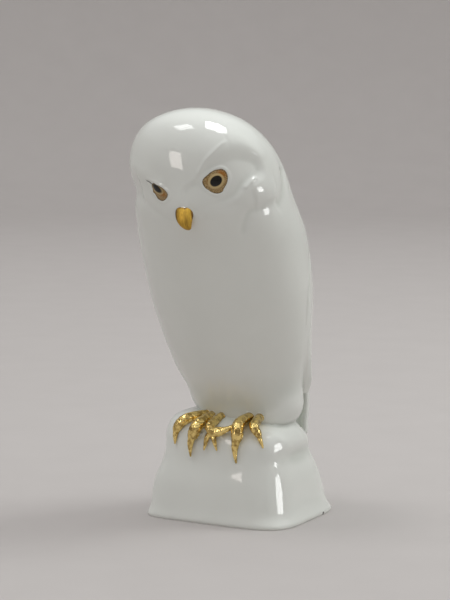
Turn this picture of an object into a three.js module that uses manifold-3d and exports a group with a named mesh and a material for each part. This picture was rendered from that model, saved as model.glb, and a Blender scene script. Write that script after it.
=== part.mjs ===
// A porcelain owl perched on a rock, cast in one piece.
// Millimetres, +Z up, the owl faces -Y and its own left side is +X.
// The origin is the middle of the rock's flat underside.
import * as THREE from 'three';
import { mergeVertices } from 'three/addons/utils/BufferGeometryUtils.js';
import Module from 'manifold-3d';

// Owl: height, sideways centre, forward centre, half width and half depth of its level sections
const OWL_SECTIONS = [
  [344, -11, -58, 0, 0], // crown
  [340.5, -11, -57.8, 23, 22],
  [330, -10.3, -56.5, 43.5, 40],
  [312, -8.2, -53, 57.6, 52.5], // brow
  [290, -5.4, -48, 64, 59], // eyes
  [268, -4, -40.5, 67, 61.5], // cheeks
  [245, -2.2, -31.5, 69.8, 62.5],
  [220, -1.5, -23, 70.2, 62], // breast
  [192, -1, -15, 69, 60],
  [165, -1, -7.5, 65.5, 56],
  [140, -1, -1, 60, 50], // belly
  [120, -1.5, 4.5, 54, 43.5],
  [105, 0.6, 8.5, 50, 38.5],
  [94, 2.4, 9.5, 49, 35], // above the feet
  [87, 5, 9, 45, 34],
  [80, 8.5, 9, 37, 32.5],
  [68, 0, 9, 0, 0], // inside the rock
];
const OWL_SQUARENESS = 2.2;
const OWL_COLUMNS = 64;
const OWL_ROWS = 52;
const FACE_SIDE = THREE.MathUtils.degToRad(20); // columns stand closest here
const FACE_CROWDING = 0.4;
const FACE_HEIGHTS = [234, 338]; // rows stand closer between these
const FACE_ROW_CROWDING = 2.8;

// Rock: height, half width on the owl's right, half width on its left, half depth, squareness
const ROCK_SECTIONS = [
  [88, 0, 0, 0, 3.4],
  [87.5, 31, 23, 21, 3.4],
  [85.5, 48.5, 37, 33, 3.4],
  [81, 55.5, 44.5, 41, 3.6],
  [74, 58.4, 51, 46, 4],
  [64, 58.2, 53.6, 48.3, 4.6],
  [53, 57.6, 53, 50, 5],
  [45, 59.4, 56.2, 51.8, 5.2],
  [36, 63, 59.6, 54.4, 5.4],
  [16, 67, 64.4, 58, 6],
  [1.6, 67.8, 69, 60.4, 6.4],
  [0, 67, 68.2, 59.8, 6.4],
];
const ROCK_COLUMNS = 44;
const ROCK_ROWS = 17;
// Squareness of its left front corner and of its back corners, as portions of the right front one's
const LEFT_SQUARENESS = 0.76;
const BACK_SQUARENESS = 0.7;
// Its front turns away toward the owl's right from this line across, by this slope
const FRONT_TURN = { from: 31, slope: 0.056, softness: 4, behind: 40 };
// Its top falls toward the owl's left between these lines across, above the lower height
const TOP_FALL = { from: -30, to: 46, low: 50, high: 88, height: 8 };
// Swellings and dents of the rock: centre, reach and height
const ROCK_MIDDLE = new THREE.Vector3(0, 0, 30);
const ROCK_RELIEF = [
  { at: [44, -24, 68], reach: 20, height: 3.6 },
  { at: [42, 14, 90], reach: 17, height: 10 },
];
const LEVEL_FOOT = 12; // the relief fades out below this height
// Flat cut across the rock's front corner on the owl's left
const ROCK_FACET = {
  facing: new THREE.Vector3(0.481, -0.832, 0.276),
  distance: 72.2,
  softness: 2.2,
  fullFrom: 16,
};

// Head: centre, turn toward the owl's left, bow, and tilt that lowers the owl's right side
const HEAD_CENTRE = new THREE.Vector3(-6, -47, 283);
const HEAD_TURN = 11.5;
const HEAD_BOW = 12;
const HEAD_TILT = 10.5;
const MUZZLE = { longitude: 0, latitude: -7, reachAcross: 23, reachUp: 17, height: 6.5 };

// Relief on the head along paths of longitude and latitude in degrees.
// Longitude runs toward the owl's left, latitude upward; width and height are in degrees and mm.
const LEFT_BROW = [[-4, -2], [-3.5, 8], [1, 14], [14, 22], [21, 28.5], [31, 32], [41, 35]];
const RIGHT_BROW = [[-4, 0], [-13, 11], [-22, 17], [-31, 20.5], [-40, 23.5], [-52, 23], [-62, 24]];
const TEMPLE = [[14, 17], [22, 22], [33, 25], [44, 24], [53, 19], [60, 12]];
const FAR_TEMPLE = [[-46, 12], [-56, 11], [-66, 9], [-78, 7], [-92, 4]];
const CHEEK = [[42, -1], [52, -3], [62, -5], [72, -9]];
const NAPE_CREASE = [[92, 10], [91, -2], [82, -10], [74, -17]];
const NAPE = [[112, -19], [140, -17], [180, -15]];
const CHEEK_EDGE = [[74, -18], [62, -15.5], [54, -13.5], [43, -13.5], [39, -18], [35.5, -24], [32, -32]];
const DISC_EDGE = [[8, -13], [15, -9], [25, -7.5], [38, -8]];
const RIGHT_DISC_EDGE = [[-50, 6], [-37, 0], [-27, -6], [-12, -11]];
const HEAD_RELIEF = [
  { path: LEFT_BROW, width: 4, height: 2.4 },
  { path: RIGHT_BROW, width: 4.5, height: 2.2 },
  { path: TEMPLE, width: 7.5, height: -3.6 },
  { path: FAR_TEMPLE, width: 10, height: -4.6 },
  { path: CHEEK, width: 9, height: 3.4 },
  { path: NAPE_CREASE, width: 4, height: -2.6 },
  { path: CHEEK_EDGE, width: 4.5, height: -2 },
  { path: DISC_EDGE, width: 4, height: -1.2 },
  { path: RIGHT_DISC_EDGE, width: 4, height: -1.8 },
  { path: mirrored(NAPE_CREASE), width: 4, height: -2.6 },
  { path: NAPE, width: 13, height: -2 },
  { path: mirrored(NAPE), width: 13, height: -2 },
];
// Eyes: longitude and latitude, radius in degrees, height of the ball, depth of its socket
const EYES = [
  { longitude: 25.7, latitude: 10.6, radius: 10, ball: 1.6, socket: -2.4 },
  { longitude: -25, latitude: 11.5, radius: 10, ball: 1.2, socket: -3.2 },
];

const BALL_REACH = 0.72; // portion of an eye's radius
const SOCKET_REACH = 1.25;
// The relief fades out down the neck between these latitudes
const NECK_LATITUDES = [-70, -40];

// Beak: stations along it as longitude, latitude, distance from the head's centre,
// half width and half thickness
const BEAK = [
  [-0.7, -4, 53, 5.4, 3.6],
  [-0.8, -6.6, 60.4, 7.6, 4.6],
  [-0.9, -9.6, 66, 7.5, 5],
  [-0.8, -13.4, 68.7, 4.6, 4],
  [-0.4, -17.4, 67.8, 1.3, 1.3],
];
const BEAK_SIDES = 10;

// Toes: root under the belly, knuckle, bend, claw and tip, each with its radius
const TOES = [
  [
    [-18, -15, 85.5, 3.6], [-30.4, -36.7, 83.6, 4.5], [-37.8, -41, 76.5, 3.9],
    [-39.1, -43.2, 69.3, 2.2], [-38.7, -44.7, 62.6, 0.7],
  ],
  [
    [-15, -15, 85.5, 4], [-16.4, -43.3, 80.8, 5.2], [-19.3, -47.7, 73.3, 4.8],
    [-21.9, -48.4, 65.2, 2.8], [-21.3, -49.5, 54.2, 0.8],
  ],
  [
    [-5, -16, 87, 3.4], [-5.2, -43.8, 80.4, 4], [-2.3, -46.8, 75.2, 3],
    [0, -48.1, 69.6, 2.1], [2.9, -48.7, 61, 0.7],
  ],
  [
    [21, -38, 84, 2.2], [11, -44.6, 79, 2.4], [2.8, -46, 76.3, 4],
    [-5.2, -46.4, 73, 2.7], [-7.7, -47.8, 67.5, 1.9], [-9, -48.7, 60.4, 0.7],
  ],
  [
    [20.5, -16, 86.5, 4], [20, -41, 83.6, 5.1], [21.2, -47.2, 75.3, 5],
    [19.9, -48.7, 65.5, 3.1], [21.5, -49.8, 52.4, 0.8],
  ],
  [
    [27, -12, 87, 3.6], [32.2, -37.6, 83, 4.2], [36.2, -40.1, 77.4, 3.3],
    [39.4, -41.1, 71.9, 2], [42, -40.9, 65.2, 0.7],
  ],
];
const TOE_SIDES = 7;
const TOE_STEPS = 7;

// Folded wings: height, centre forward, half width and half depth of the round they hang on,
// angle of the front edge and of the back edge from the owl's front, in degrees
const WING_SECTIONS = [
  [224, -23.4, 67, 59, 112, 158],
  [200, -17, 68.6, 60, 97, 174],
  [178, -11, 67.4, 59, 91, 176],
  [156, -5, 64.2, 56.5, 91, 177],
  [138, 0.5, 62.4, 54.5, 95, 174],
  [122, 5, 61.4, 53, 102, 166],
  [112, 8, 60.6, 52.5, 108, 156],
  [105, 9, 58.6, 52, 116, 146],
  [100, 9.5, 57, 51, 124, 132],
];
const WING_SHOULDER = 0.3; // portion across in which a wing rises from the body
const WING_THICKNESS = 15;
const WING_ACROSS = 8;
const WING_STEPS = 10;
const WING_TIP_CROWDING = 1.6; // above 1 the steps stand closer toward the tip
const FEATHER_DEPTH = 1.2;
const FEATHER_HEIGHTS = [190, 150]; // the long feathers part from each other between these

// Tail: height, half width, front face and back face
const TAIL_SECTIONS = [
  [152, 30, 22, 50],
  [128, 36, 30, 55.5],
  [104, 38.4, 36, 60],
  [84, 37.4, 40, 63],
  [66, 35.8, 44, 64.5],
  [56, 29.4, 45, 63.5],
  [52, 19, 45.5, 61],
];
const TAIL_ACROSS = 10;
const TAIL_ROUNDING = 5; // how far its back curves forward at the edges
const TAIL_EDGE = 6; // thickness of its free edges
// Portions of its half width where its front face has corners, and between which it thins to the edge
const TAIL_FRONT = [-0.97, -0.8, -0.55, 0.55, 0.8, 0.97];
const TAIL_ROOT = [0.5, 0.82];

const FINE_STEPS = 40; // steps for each row, when rows are spread along a profile
const ROUNDING = 1e-9;
const WELD_DISTANCE = 1e-4;

function mirrored(path) {
  return path.map(([longitude, latitude]) => [-longitude, latitude]);
}

// Natural cubic spline through values at rising knots.
function naturalSpline(knots, values) {
  const last = knots.length - 1;
  const bend = new Array(last + 1).fill(0);
  const factor = new Array(last + 1).fill(0);
  for (let i = 1; i < last; i++) {
    const before = knots[i] - knots[i - 1];
    const after = knots[i + 1] - knots[i];
    const pull = (values[i + 1] - values[i]) / after - (values[i] - values[i - 1]) / before;
    const divisor = 2 * (before + after) - before * factor[i - 1];
    factor[i] = after / divisor;
    bend[i] = (6 * pull - before * bend[i - 1]) / divisor;
  }
  for (let i = last - 1; i > 0; i--) {
    bend[i] -= factor[i] * bend[i + 1];
  }
  return (at) => {
    let i = 0;
    while (i < last - 1 && at > knots[i + 1]) {
      i++;
    }
    const span = knots[i + 1] - knots[i];
    const left = knots[i + 1] - at;
    const right = at - knots[i];
    return (bend[i] * left ** 3 + bend[i + 1] * right ** 3) / (6 * span)
      + (values[i] / span - bend[i] * span / 6) * left
      + (values[i + 1] / span - bend[i + 1] * span / 6) * right;
  };
}

// Rows of a section table, spread along its profile by how close they stand at each height;
// the first row is a pole, which the splines cross evenly.
function spreadRows(table, radiusColumns, count, closeness = () => 1) {
  const along = [0];
  const widest = radiusColumns[0];
  for (let i = 1; i < table.length; i++) {
    const step = Math.hypot(table[i][0] - table[i - 1][0], table[i][widest] - table[i - 1][widest]);
    along.push(along[i - 1] + step);
  }
  const knots = [-along[1], ...along];
  const columns = table[0].map((_, column) => {
    const values = table.map((row) => row[column]);
    const before = radiusColumns.includes(column) ? -values[1] : values[1];
    return naturalSpline(knots, [before, ...values]);
  });
  const end = along.at(-1);
  const fine = FINE_STEPS * count;
  const crowd = [0];
  for (let i = 1; i <= fine; i++) {
    crowd.push(crowd[i - 1] + closeness(columns[0](end * (i - 0.5) / fine)));
  }
  return Array.from({ length: count }, (_, row) => {
    const goal = crowd[fine] * (row + 1) / count;
    const i = crowd.findIndex((sum) => sum >= goal - ROUNDING);
    const part = (goal - crowd[i - 1]) / (crowd[i] - crowd[i - 1]);
    return columns.map((column) => column(end * (i - 1 + part) / fine));
  });
}

function signedPower(value, power) {
  return Math.sign(value) * Math.abs(value) ** power;
}

// Closed skin over level rings that run the same way round, with a pole at each end.
function closedSkin(rings, topPole, bottomPole) {
  const sides = rings[0].length;
  const points = [topPole, ...rings.flat(), bottomPole];
  const faces = [];
  const at = (ring, side) => 1 + ring * sides + side % sides;
  for (let side = 0; side < sides; side++) {
    faces.push(0, at(0, side), at(0, side + 1));
    for (let ring = 0; ring < rings.length - 1; ring++) {
      const [a, b] = [at(ring, side), at(ring + 1, side)];
      const [c, d] = [at(ring + 1, side + 1), at(ring, side + 1)];
      if (points[a].distanceTo(points[c]) < points[b].distanceTo(points[d])) {
        faces.push(a, b, c, a, c, d);
      } else {
        faces.push(a, b, d, b, c, d);
      }
    }
    faces.push(points.length - 1, at(rings.length - 1, side + 1), at(rings.length - 1, side));
  }
  return solidOf(points, faces);
}

// Indexed geometry that faces outward.
function solidOf(points, faces) {
  let volume = 0;
  for (let i = 0; i < faces.length; i += 3) {
    const [a, b, c] = [points[faces[i]], points[faces[i + 1]], points[faces[i + 2]]];
    volume += a.dot(b.clone().cross(c));
  }
  const geometry = new THREE.BufferGeometry().setFromPoints(points);
  geometry.setIndex(volume > 0 ? faces : faces.slice().reverse());
  return mergeVertices(geometry, WELD_DISTANCE);
}

// Directions of the head: toward the owl's left, forward and up.
function headAxes() {
  const turn = THREE.MathUtils.degToRad(HEAD_TURN);
  const bow = THREE.MathUtils.degToRad(HEAD_BOW);
  const tilt = THREE.MathUtils.degToRad(HEAD_TILT);
  const level = new THREE.Vector3(Math.sin(turn), -Math.cos(turn), 0);
  const side = new THREE.Vector3(Math.cos(turn), Math.sin(turn), 0);
  const up = new THREE.Vector3(0, 0, 1);
  const forward = level.clone().multiplyScalar(Math.cos(bow)).addScaledVector(up, -Math.sin(bow));
  const bowedUp = up.clone().multiplyScalar(Math.cos(bow)).addScaledVector(level, Math.sin(bow));
  const left = side.clone().multiplyScalar(Math.cos(tilt)).addScaledVector(bowedUp, Math.sin(tilt));
  const tiltedUp = bowedUp.clone().multiplyScalar(Math.cos(tilt)).addScaledVector(side, -Math.sin(tilt));
  return { left, forward, up: tiltedUp };
}
const HEAD = headAxes();

function headPoint(longitude, latitude, distance) {
  const across = THREE.MathUtils.degToRad(longitude);
  const upward = THREE.MathUtils.degToRad(latitude);
  return HEAD_CENTRE.clone()
    .addScaledVector(HEAD.left, distance * Math.cos(upward) * Math.sin(across))
    .addScaledVector(HEAD.forward, distance * Math.cos(upward) * Math.cos(across))
    .addScaledVector(HEAD.up, distance * Math.sin(upward));
}

function distanceToPath(x, y, path) {
  let nearest = Infinity;
  for (let i = 1; i < path.length; i++) {
    const [ax, ay] = path[i - 1];
    const dx = path[i][0] - ax;
    const dy = path[i][1] - ay;
    const along = THREE.MathUtils.clamp(((x - ax) * dx + (y - ay) * dy) / (dx * dx + dy * dy), 0, 1);
    nearest = Math.min(nearest, Math.hypot(x - ax - along * dx, y - ay - along * dy));
  }
  return nearest;
}

function bell(distance, reach) {
  return Math.exp(-((distance / reach) ** 2));
}

// How far the modelled face stands out from the plain egg of the head at a longitude and latitude.
function headRelief(longitude, latitude) {
  let height = MUZZLE.height * bell((longitude - MUZZLE.longitude) / MUZZLE.reachAcross, 1)
    * bell((latitude - MUZZLE.latitude) / MUZZLE.reachUp, 1);
  for (const { path, width, height: peak } of HEAD_RELIEF) {
    height += peak * bell(distanceToPath(longitude, latitude, path), width);
  }
  for (const eye of EYES) {
    const away = Math.hypot(longitude - eye.longitude, latitude - eye.latitude) / eye.radius;
    height += eye.socket * bell(away, SOCKET_REACH) + (eye.ball - eye.socket) * bell(away, BALL_REACH);
  }
  return height;
}

function moulded(point) {
  const offset = point.clone().sub(HEAD_CENTRE);
  const across = offset.dot(HEAD.left);
  const ahead = offset.dot(HEAD.forward);
  const latitude = THREE.MathUtils.radToDeg(Math.atan2(offset.dot(HEAD.up), Math.hypot(across, ahead)));
  const longitude = THREE.MathUtils.radToDeg(Math.atan2(across, ahead));
  const fade = THREE.MathUtils.smoothstep(latitude, ...NECK_LATITUDES);
  return point.addScaledVector(offset.normalize(), fade * headRelief(longitude, latitude));
}

function owlBody() {
  const closeness = (z) => (z > FACE_HEIGHTS[0] && z < FACE_HEIGHTS[1] ? FACE_ROW_CROWDING : 1);
  const rows = spreadRows(OWL_SECTIONS, [3, 4], OWL_ROWS, closeness).slice(0, -1);
  const rings = rows.map(([z, middleX, middleY, halfWidth, halfDepth]) =>
    Array.from({ length: OWL_COLUMNS }, (_, side) => {
      const even = 2 * Math.PI * side / OWL_COLUMNS;
      const angle = even - FACE_CROWDING * Math.sin(even - FACE_SIDE);
      return moulded(new THREE.Vector3(
        middleX + halfWidth * signedPower(Math.sin(angle), 2 / OWL_SQUARENESS),
        middleY - halfDepth * signedPower(Math.cos(angle), 2 / OWL_SQUARENESS),
        z,
      ));
    }));
  const top = OWL_SECTIONS[0];
  const bottom = OWL_SECTIONS.at(-1);
  return closedSkin(
    rings,
    new THREE.Vector3(top[1], top[2], top[0]),
    new THREE.Vector3(bottom[1], bottom[2], bottom[0]),
  );
}

// Zero on one side of a threshold and rising evenly on the other, with a soft bend between.
function softRise(value, softness) {
  return softness * Math.log1p(Math.exp(value / softness));
}

// Point of the rock's skin before its swellings: a squared ring, its front turned and its top fallen.
function rockRingPoint(angle, [z, rightHalf, leftHalf, halfDepth, squareness]) {
  const toLeft = Math.sin(angle) > 0;
  const toFront = Math.cos(angle) > 0;
  const frontShare = toLeft ? LEFT_SQUARENESS : 1;
  const power = 2 / (squareness * (toFront ? frontShare : BACK_SQUARENESS));
  const x = (toLeft ? leftHalf : rightHalf) * signedPower(Math.sin(angle), power);
  const y = -halfDepth * signedPower(Math.cos(angle), power);
  const turned = FRONT_TURN.slope * softRise(FRONT_TURN.from - x, FRONT_TURN.softness)
    * THREE.MathUtils.smoothstep(-y, 0, FRONT_TURN.behind);
  const fallen = TOP_FALL.height * THREE.MathUtils.smoothstep(x, TOP_FALL.from, TOP_FALL.to)
    * THREE.MathUtils.smoothstep(z, TOP_FALL.low, TOP_FALL.high);
  return new THREE.Vector3(x, y + turned, z - fallen);
}

function rockBody() {
  const rows = spreadRows(ROCK_SECTIONS, [1, 2, 3], ROCK_ROWS);
  rows[rows.length - 1][0] = 0;
  const rings = rows.map((row) =>
    Array.from({ length: ROCK_COLUMNS }, (_, side) => {
      const point = rockRingPoint(2 * Math.PI * side / ROCK_COLUMNS, row);
      const outward = point.clone().sub(ROCK_MIDDLE).normalize();
      const swelling = ROCK_RELIEF.reduce((sum, { at, reach, height }) =>
        sum + height * bell(point.distanceTo(new THREE.Vector3(...at)), reach), 0);
      point.addScaledVector(outward, swelling * THREE.MathUtils.smoothstep(point.z, 0, LEVEL_FOOT));
      const { facing, distance, softness, fullFrom } = ROCK_FACET;
      const over = softRise(point.dot(facing) - distance, softness);
      return point.addScaledVector(facing, -over * THREE.MathUtils.smoothstep(point.z, 0, fullFrom));
    }));
  return closedSkin(rings, new THREE.Vector3(0, 0, ROCK_SECTIONS[0][0]), new THREE.Vector3(0, 0, 0));
}

// Rounded form along a line of centres, each ring square to the line.
function taperedForm(centres, radii, sides, wideAxis) {
  const curve = new THREE.CatmullRomCurve3(centres);
  const rings = [];
  const steps = radii.length - 1;
  for (let step = 0; step <= steps; step++) {
    const ahead = curve.getTangent(step / steps);
    const across = wideAxis.clone().addScaledVector(ahead, -wideAxis.dot(ahead)).normalize();
    const upward = new THREE.Vector3().crossVectors(ahead, across);
    const [wide, thick] = radii[step];
    rings.push(Array.from({ length: sides }, (_, side) => {
      const angle = 2 * Math.PI * side / sides;
      return curve.getPoint(step / steps)
        .addScaledVector(across, wide * Math.cos(angle))
        .addScaledVector(upward, thick * Math.sin(angle));
    }));
  }
  const tipLength = Math.min(...radii.at(-1));
  const start = curve.getPoint(0);
  const end = curve.getPoint(1).addScaledVector(curve.getTangent(1), tipLength);
  return closedSkin(rings, start, end);
}

function toe(stations) {
  const centres = stations.map(([x, y, z]) => new THREE.Vector3(x, y, z));
  const knots = stations.map((_, i) => i / (stations.length - 1));
  const radius = naturalSpline(knots, stations.map((station) => station[3]));
  const radii = Array.from({ length: TOE_STEPS + 1 }, (_, i) => {
    const size = radius(i / TOE_STEPS);
    return [size, size];
  });
  return taperedForm(centres, radii, TOE_SIDES, new THREE.Vector3(1, 0, 0));
}

function beak() {
  const centres = BEAK.map(([longitude, latitude, distance]) => headPoint(longitude, latitude, distance));
  return taperedForm(centres, BEAK.map((station) => station.slice(3)), BEAK_SIDES, HEAD.left);
}

// One folded wing: a curved plate on the owl's flank and back; side is 1 for the owl's left.
function wing(side) {
  const heights = WING_SECTIONS.map((row) => -row[0]);
  const columns = [1, 2, 3, 4, 5].map((column) =>
    naturalSpline(heights, WING_SECTIONS.map((row) => row[column])));
  const top = WING_SECTIONS[0][0];
  const bottom = WING_SECTIONS.at(-1)[0];
  const owlHeights = OWL_SECTIONS.map((row) => -row[0]);
  const owlColumns = [2, 3, 4].map((column) =>
    naturalSpline(owlHeights, OWL_SECTIONS.map((row) => row[column])));
  const rings = Array.from({ length: WING_STEPS + 1 }, (_, step) => {
    const z = THREE.MathUtils.lerp(bottom, top, (1 - step / WING_STEPS) ** WING_TIP_CROWDING);
    const [middleY, halfWidth, halfDepth, frontEdge, backEdge] = columns.map((column) => column(-z));
    const [owlY, owlWidth, owlDepth] = owlColumns.map((column) => column(-z));
    const place = (portion, inward) => {
      const angle = THREE.MathUtils.degToRad(THREE.MathUtils.lerp(frontEdge, backEdge, portion));
      const out = THREE.MathUtils.smoothstep(portion, 0, WING_SHOULDER);
      return new THREE.Vector3(
        side * (THREE.MathUtils.lerp(owlWidth, halfWidth, out) - inward) * Math.sin(angle),
        THREE.MathUtils.lerp(owlY, middleY, out)
          - (THREE.MathUtils.lerp(owlDepth, halfDepth, out) - inward) * Math.cos(angle),
        z,
      );
    };
    const outer = [];
    const inner = [];
    for (let i = 0; i <= WING_ACROSS; i++) {
      const portion = i / WING_ACROSS;
      const parting = THREE.MathUtils.smoothstep(-z, -FEATHER_HEIGHTS[0], -FEATHER_HEIGHTS[1]);
      outer.push(place(portion, (i % 2) * FEATHER_DEPTH * parting));
      inner.push(place(1 - portion, WING_THICKNESS));
    }
    return [...outer, ...inner];
  });
  return closedSkin(rings, middleOf(rings[0]), middleOf(rings.at(-1)));
}

function middleOf(ring) {
  return ring.reduce((sum, point) => sum.add(point), new THREE.Vector3()).divideScalar(ring.length);
}

// Tail: a thick root that thins to free edges, its back grooved between the feathers.
function tail() {
  const rings = TAIL_SECTIONS.map(([z, halfWidth, front, back]) => {
    const backAt = (across) => back - TAIL_ROUNDING * across ** 4;
    const ring = [];
    for (let i = 0; i <= TAIL_ACROSS; i++) {
      const across = 1 - 2 * i / TAIL_ACROSS;
      const groove = (i % 2) * FEATHER_DEPTH;
      ring.push(new THREE.Vector3(halfWidth * across, backAt(across) - groove, z));
    }
    for (const across of TAIL_FRONT) {
      const thinned = THREE.MathUtils.smoothstep(Math.abs(across), ...TAIL_ROOT);
      const y = THREE.MathUtils.lerp(front, backAt(across) - TAIL_EDGE, thinned);
      ring.push(new THREE.Vector3(halfWidth * across, y, z));
    }
    return ring;
  });
  return closedSkin(rings, middleOf(rings[0]), middleOf(rings.at(-1)));
}

const wasm = await Module();
wasm.setup();

function toManifold(geometry) {
  geometry.deleteAttribute('normal');
  geometry.deleteAttribute('uv');
  return new wasm.Manifold(new wasm.Mesh({
    numProp: 3,
    vertProperties: new Float32Array(geometry.getAttribute('position').array),
    triVerts: new Uint32Array(geometry.getIndex().array),
  }));
}

function toGeometry(manifold) {
  const { vertProperties, triVerts } = manifold.getMesh();
  const geometry = new THREE.BufferGeometry();
  geometry.setAttribute('position', new THREE.BufferAttribute(vertProperties, 3));
  geometry.setIndex(new THREE.BufferAttribute(triVerts, 1));
  geometry.computeVertexNormals();
  return geometry;
}

// The whole casting: every form runs into its neighbours.
const forms = [
  owlBody(),
  rockBody(),
  wing(1),
  wing(-1),
  tail(),
  beak(),
  ...TOES.map(toe),
];
const casting = forms.map(toManifold).reduce((whole, form) => whole.add(form));

const owl = new THREE.Mesh(
  toGeometry(casting),
  new THREE.MeshStandardMaterial({ color: '#e6e9e7', roughness: 0.12, metalness: 0 }),
);
owl.name = 'porcelain_owl';

const figurine = new THREE.Group();
figurine.name = 'owl_figurine';
figurine.add(owl);

export default figurine;
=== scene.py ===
"""White glazed porcelain owl on a rock, with painted eyes and a gilded beak and gilded toes.

The file is laid out as an add-on and is run as a script. Tables are in millimetres: +Z is up, the owl
faces -Y, its own left side is +X, and the origin is the middle of the rock's flat underside.
"""
import math

import bpy
import numpy as np
from bpy.props import FloatProperty, FloatVectorProperty, PointerProperty
from mathutils import Matrix, Quaternion, Vector


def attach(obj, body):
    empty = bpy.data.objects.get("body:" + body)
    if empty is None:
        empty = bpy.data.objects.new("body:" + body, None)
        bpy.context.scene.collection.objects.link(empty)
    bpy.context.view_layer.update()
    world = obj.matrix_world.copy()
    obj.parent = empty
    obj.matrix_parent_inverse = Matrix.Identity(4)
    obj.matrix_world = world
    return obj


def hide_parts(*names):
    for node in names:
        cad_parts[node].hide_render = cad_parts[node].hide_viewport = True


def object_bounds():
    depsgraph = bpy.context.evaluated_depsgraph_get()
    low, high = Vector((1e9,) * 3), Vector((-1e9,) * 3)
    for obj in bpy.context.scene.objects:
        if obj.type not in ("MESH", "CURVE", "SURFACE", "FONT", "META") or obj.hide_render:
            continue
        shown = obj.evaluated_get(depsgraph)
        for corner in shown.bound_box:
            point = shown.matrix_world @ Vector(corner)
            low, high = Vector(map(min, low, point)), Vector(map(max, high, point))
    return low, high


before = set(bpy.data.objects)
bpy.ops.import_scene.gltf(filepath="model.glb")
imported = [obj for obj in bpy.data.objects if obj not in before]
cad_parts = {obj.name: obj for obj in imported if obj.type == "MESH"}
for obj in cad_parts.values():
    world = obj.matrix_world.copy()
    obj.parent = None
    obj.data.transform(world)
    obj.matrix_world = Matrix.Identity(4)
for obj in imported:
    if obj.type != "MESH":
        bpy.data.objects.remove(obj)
CAD_LOW, CAD_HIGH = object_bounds()

bl_info = {
    "name": "Porcelain owl",
    "version": (1, 0, 0),
    "blender": (4, 5, 0),
    "location": "View3D > Sidebar > Owl",
    "description": "Makes a glazed porcelain owl on a rock, with painted eyes and gilding",
    "category": "Object",
}

MM = 0.001


def linear(colour):
    """Linear red, green and blue from an sRGB hex value, by the standard's curve."""
    parts = np.array([int(colour[i:i + 2], 16) for i in (1, 3, 5)]) / 255
    return tuple(np.where(parts <= 0.04045, parts / 12.92, ((parts + 0.055) / 1.055) ** 2.4))


# ---------------------------------------------------------------- the owl's forms, in millimetres

# Owl: height, sideways centre, forward centre, half width and half depth of its level sections
OWL_SECTIONS = [
    [344, -11, -58, 0, 0],
    [340.5, -11, -57.8, 23, 22],
    [330, -10.3, -56.5, 43.5, 40],
    [312, -8.2, -53, 57.6, 52.5],
    [290, -5.4, -48, 64, 59],
    [268, -4, -40.5, 67, 61.5],
    [245, -2.2, -31.5, 69.8, 62.5],
    [220, -1.5, -23, 70.2, 62],
    [192, -1, -15, 69, 60],
    [165, -1, -7.5, 65.5, 56],
    [140, -1, -1, 60, 50],
    [120, -1.5, 4.5, 54, 43.5],
    [105, 0.6, 8.5, 50, 38.5],
    [94, 2.4, 9.5, 49, 35],
    [87, 5, 9, 45, 34],
    [80, 8.5, 9, 37, 32.5],
    [68, 0, 9, 0, 0],
]
OWL_FULLNESS = 0.032  # how much fuller than an ellipse the sections are on their diagonals
OWL_COLUMNS = 296
OWL_ROWS = 244
FACE_SIDE = math.radians(20)  # columns stand closest here
FACE_CROWDING = 0.42
FACE_HEIGHTS = (234, 338)  # rows stand closer between these
FACE_HEIGHT_BLENDS = (6, 3)  # and draw together over this much to either side of each
FACE_ROW_CROWDING = 2.8

# Rock: height, half width on the owl's right, half width on its left, half depth, squareness
ROCK_SECTIONS = [
    [88, 0, 0, 0, 3.4],
    [87.5, 31, 23, 21, 3.4],
    [85.5, 48.5, 37, 33, 3.4],
    [81, 55.5, 44.5, 41, 3.6],
    [74, 58.4, 51, 46, 4],
    [64, 58.2, 53.6, 48.3, 4.6],
    [53, 57.6, 53, 50, 5],
    [45, 59.4, 56.2, 51.8, 5.2],
    [36, 63, 59.6, 54.4, 5.4],
    [16, 66.2, 63.6, 57.8, 6],
    [5, 67.6, 67.6, 59.9, 6.3],
    [1, 68.2, 68.8, 60.4, 6.8],
    [0, 67.9, 68.5, 60.1, 6.8],
]
# Squareness of its left front corner and of its back corners, as portions of the right front one's
LEFT_SQUARENESS, BACK_SQUARENESS = 0.76, 0.7
# Its front turns away toward the owl's right from this line across, by this slope, softly at the line, and
# fully from this depth in front of its middle
FRONT_TURN = (31, 0.056)
FRONT_SOFTNESS = 4
FRONT_DEPTH = 40
# Its top falls toward the owl's left between these lines across, by this height, and its side follows
# between these heights
TOP_FALL = (-30, 46, 8)
TOP_FALL_HEIGHTS = (50, 88)
ROCK_COLUMNS = 168
ROCK_ROWS = 66
# Swellings of the rock, straight away from its middle: centre, reach and height
ROCK_MIDDLE = (0, 0, 30)
ROCK_RELIEF = [
    ((44, -24, 68), 20, 3.6),
    ((43, -29, 74), 8, 1),
    ((42, 14, 90), 17, 10),
]
# Flat cuts across the rock's front corner on the owl's left, the second along the edge that the first
# leaves: direction it faces, distance, and softness of its edge
ROCK_FACETS = [
    ((0.481, -0.832, 0.276), 73.4, 2),
    ((0.857, -0.449, 0.252), 73.4, 0.9),
]
RELIEF_FADE, FACET_FADE = 12, 16  # heights over which swellings and cuts fade in from the foot

# Head: centre, turn toward the owl's left, bow, and tilt that lowers the owl's right side
HEAD_CENTRE = np.array((-6.0, -47.0, 283.0))
HEAD_TURN, HEAD_BOW, HEAD_TILT = 11.5, 12, 10.5
NECK_FADE = (-70, -40)  # latitudes between which the head's relief fades in
# Muzzle: longitude, latitude, reach across, reach up, height
MUZZLE = (0, -7, 23, 17, 6.5)

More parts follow.
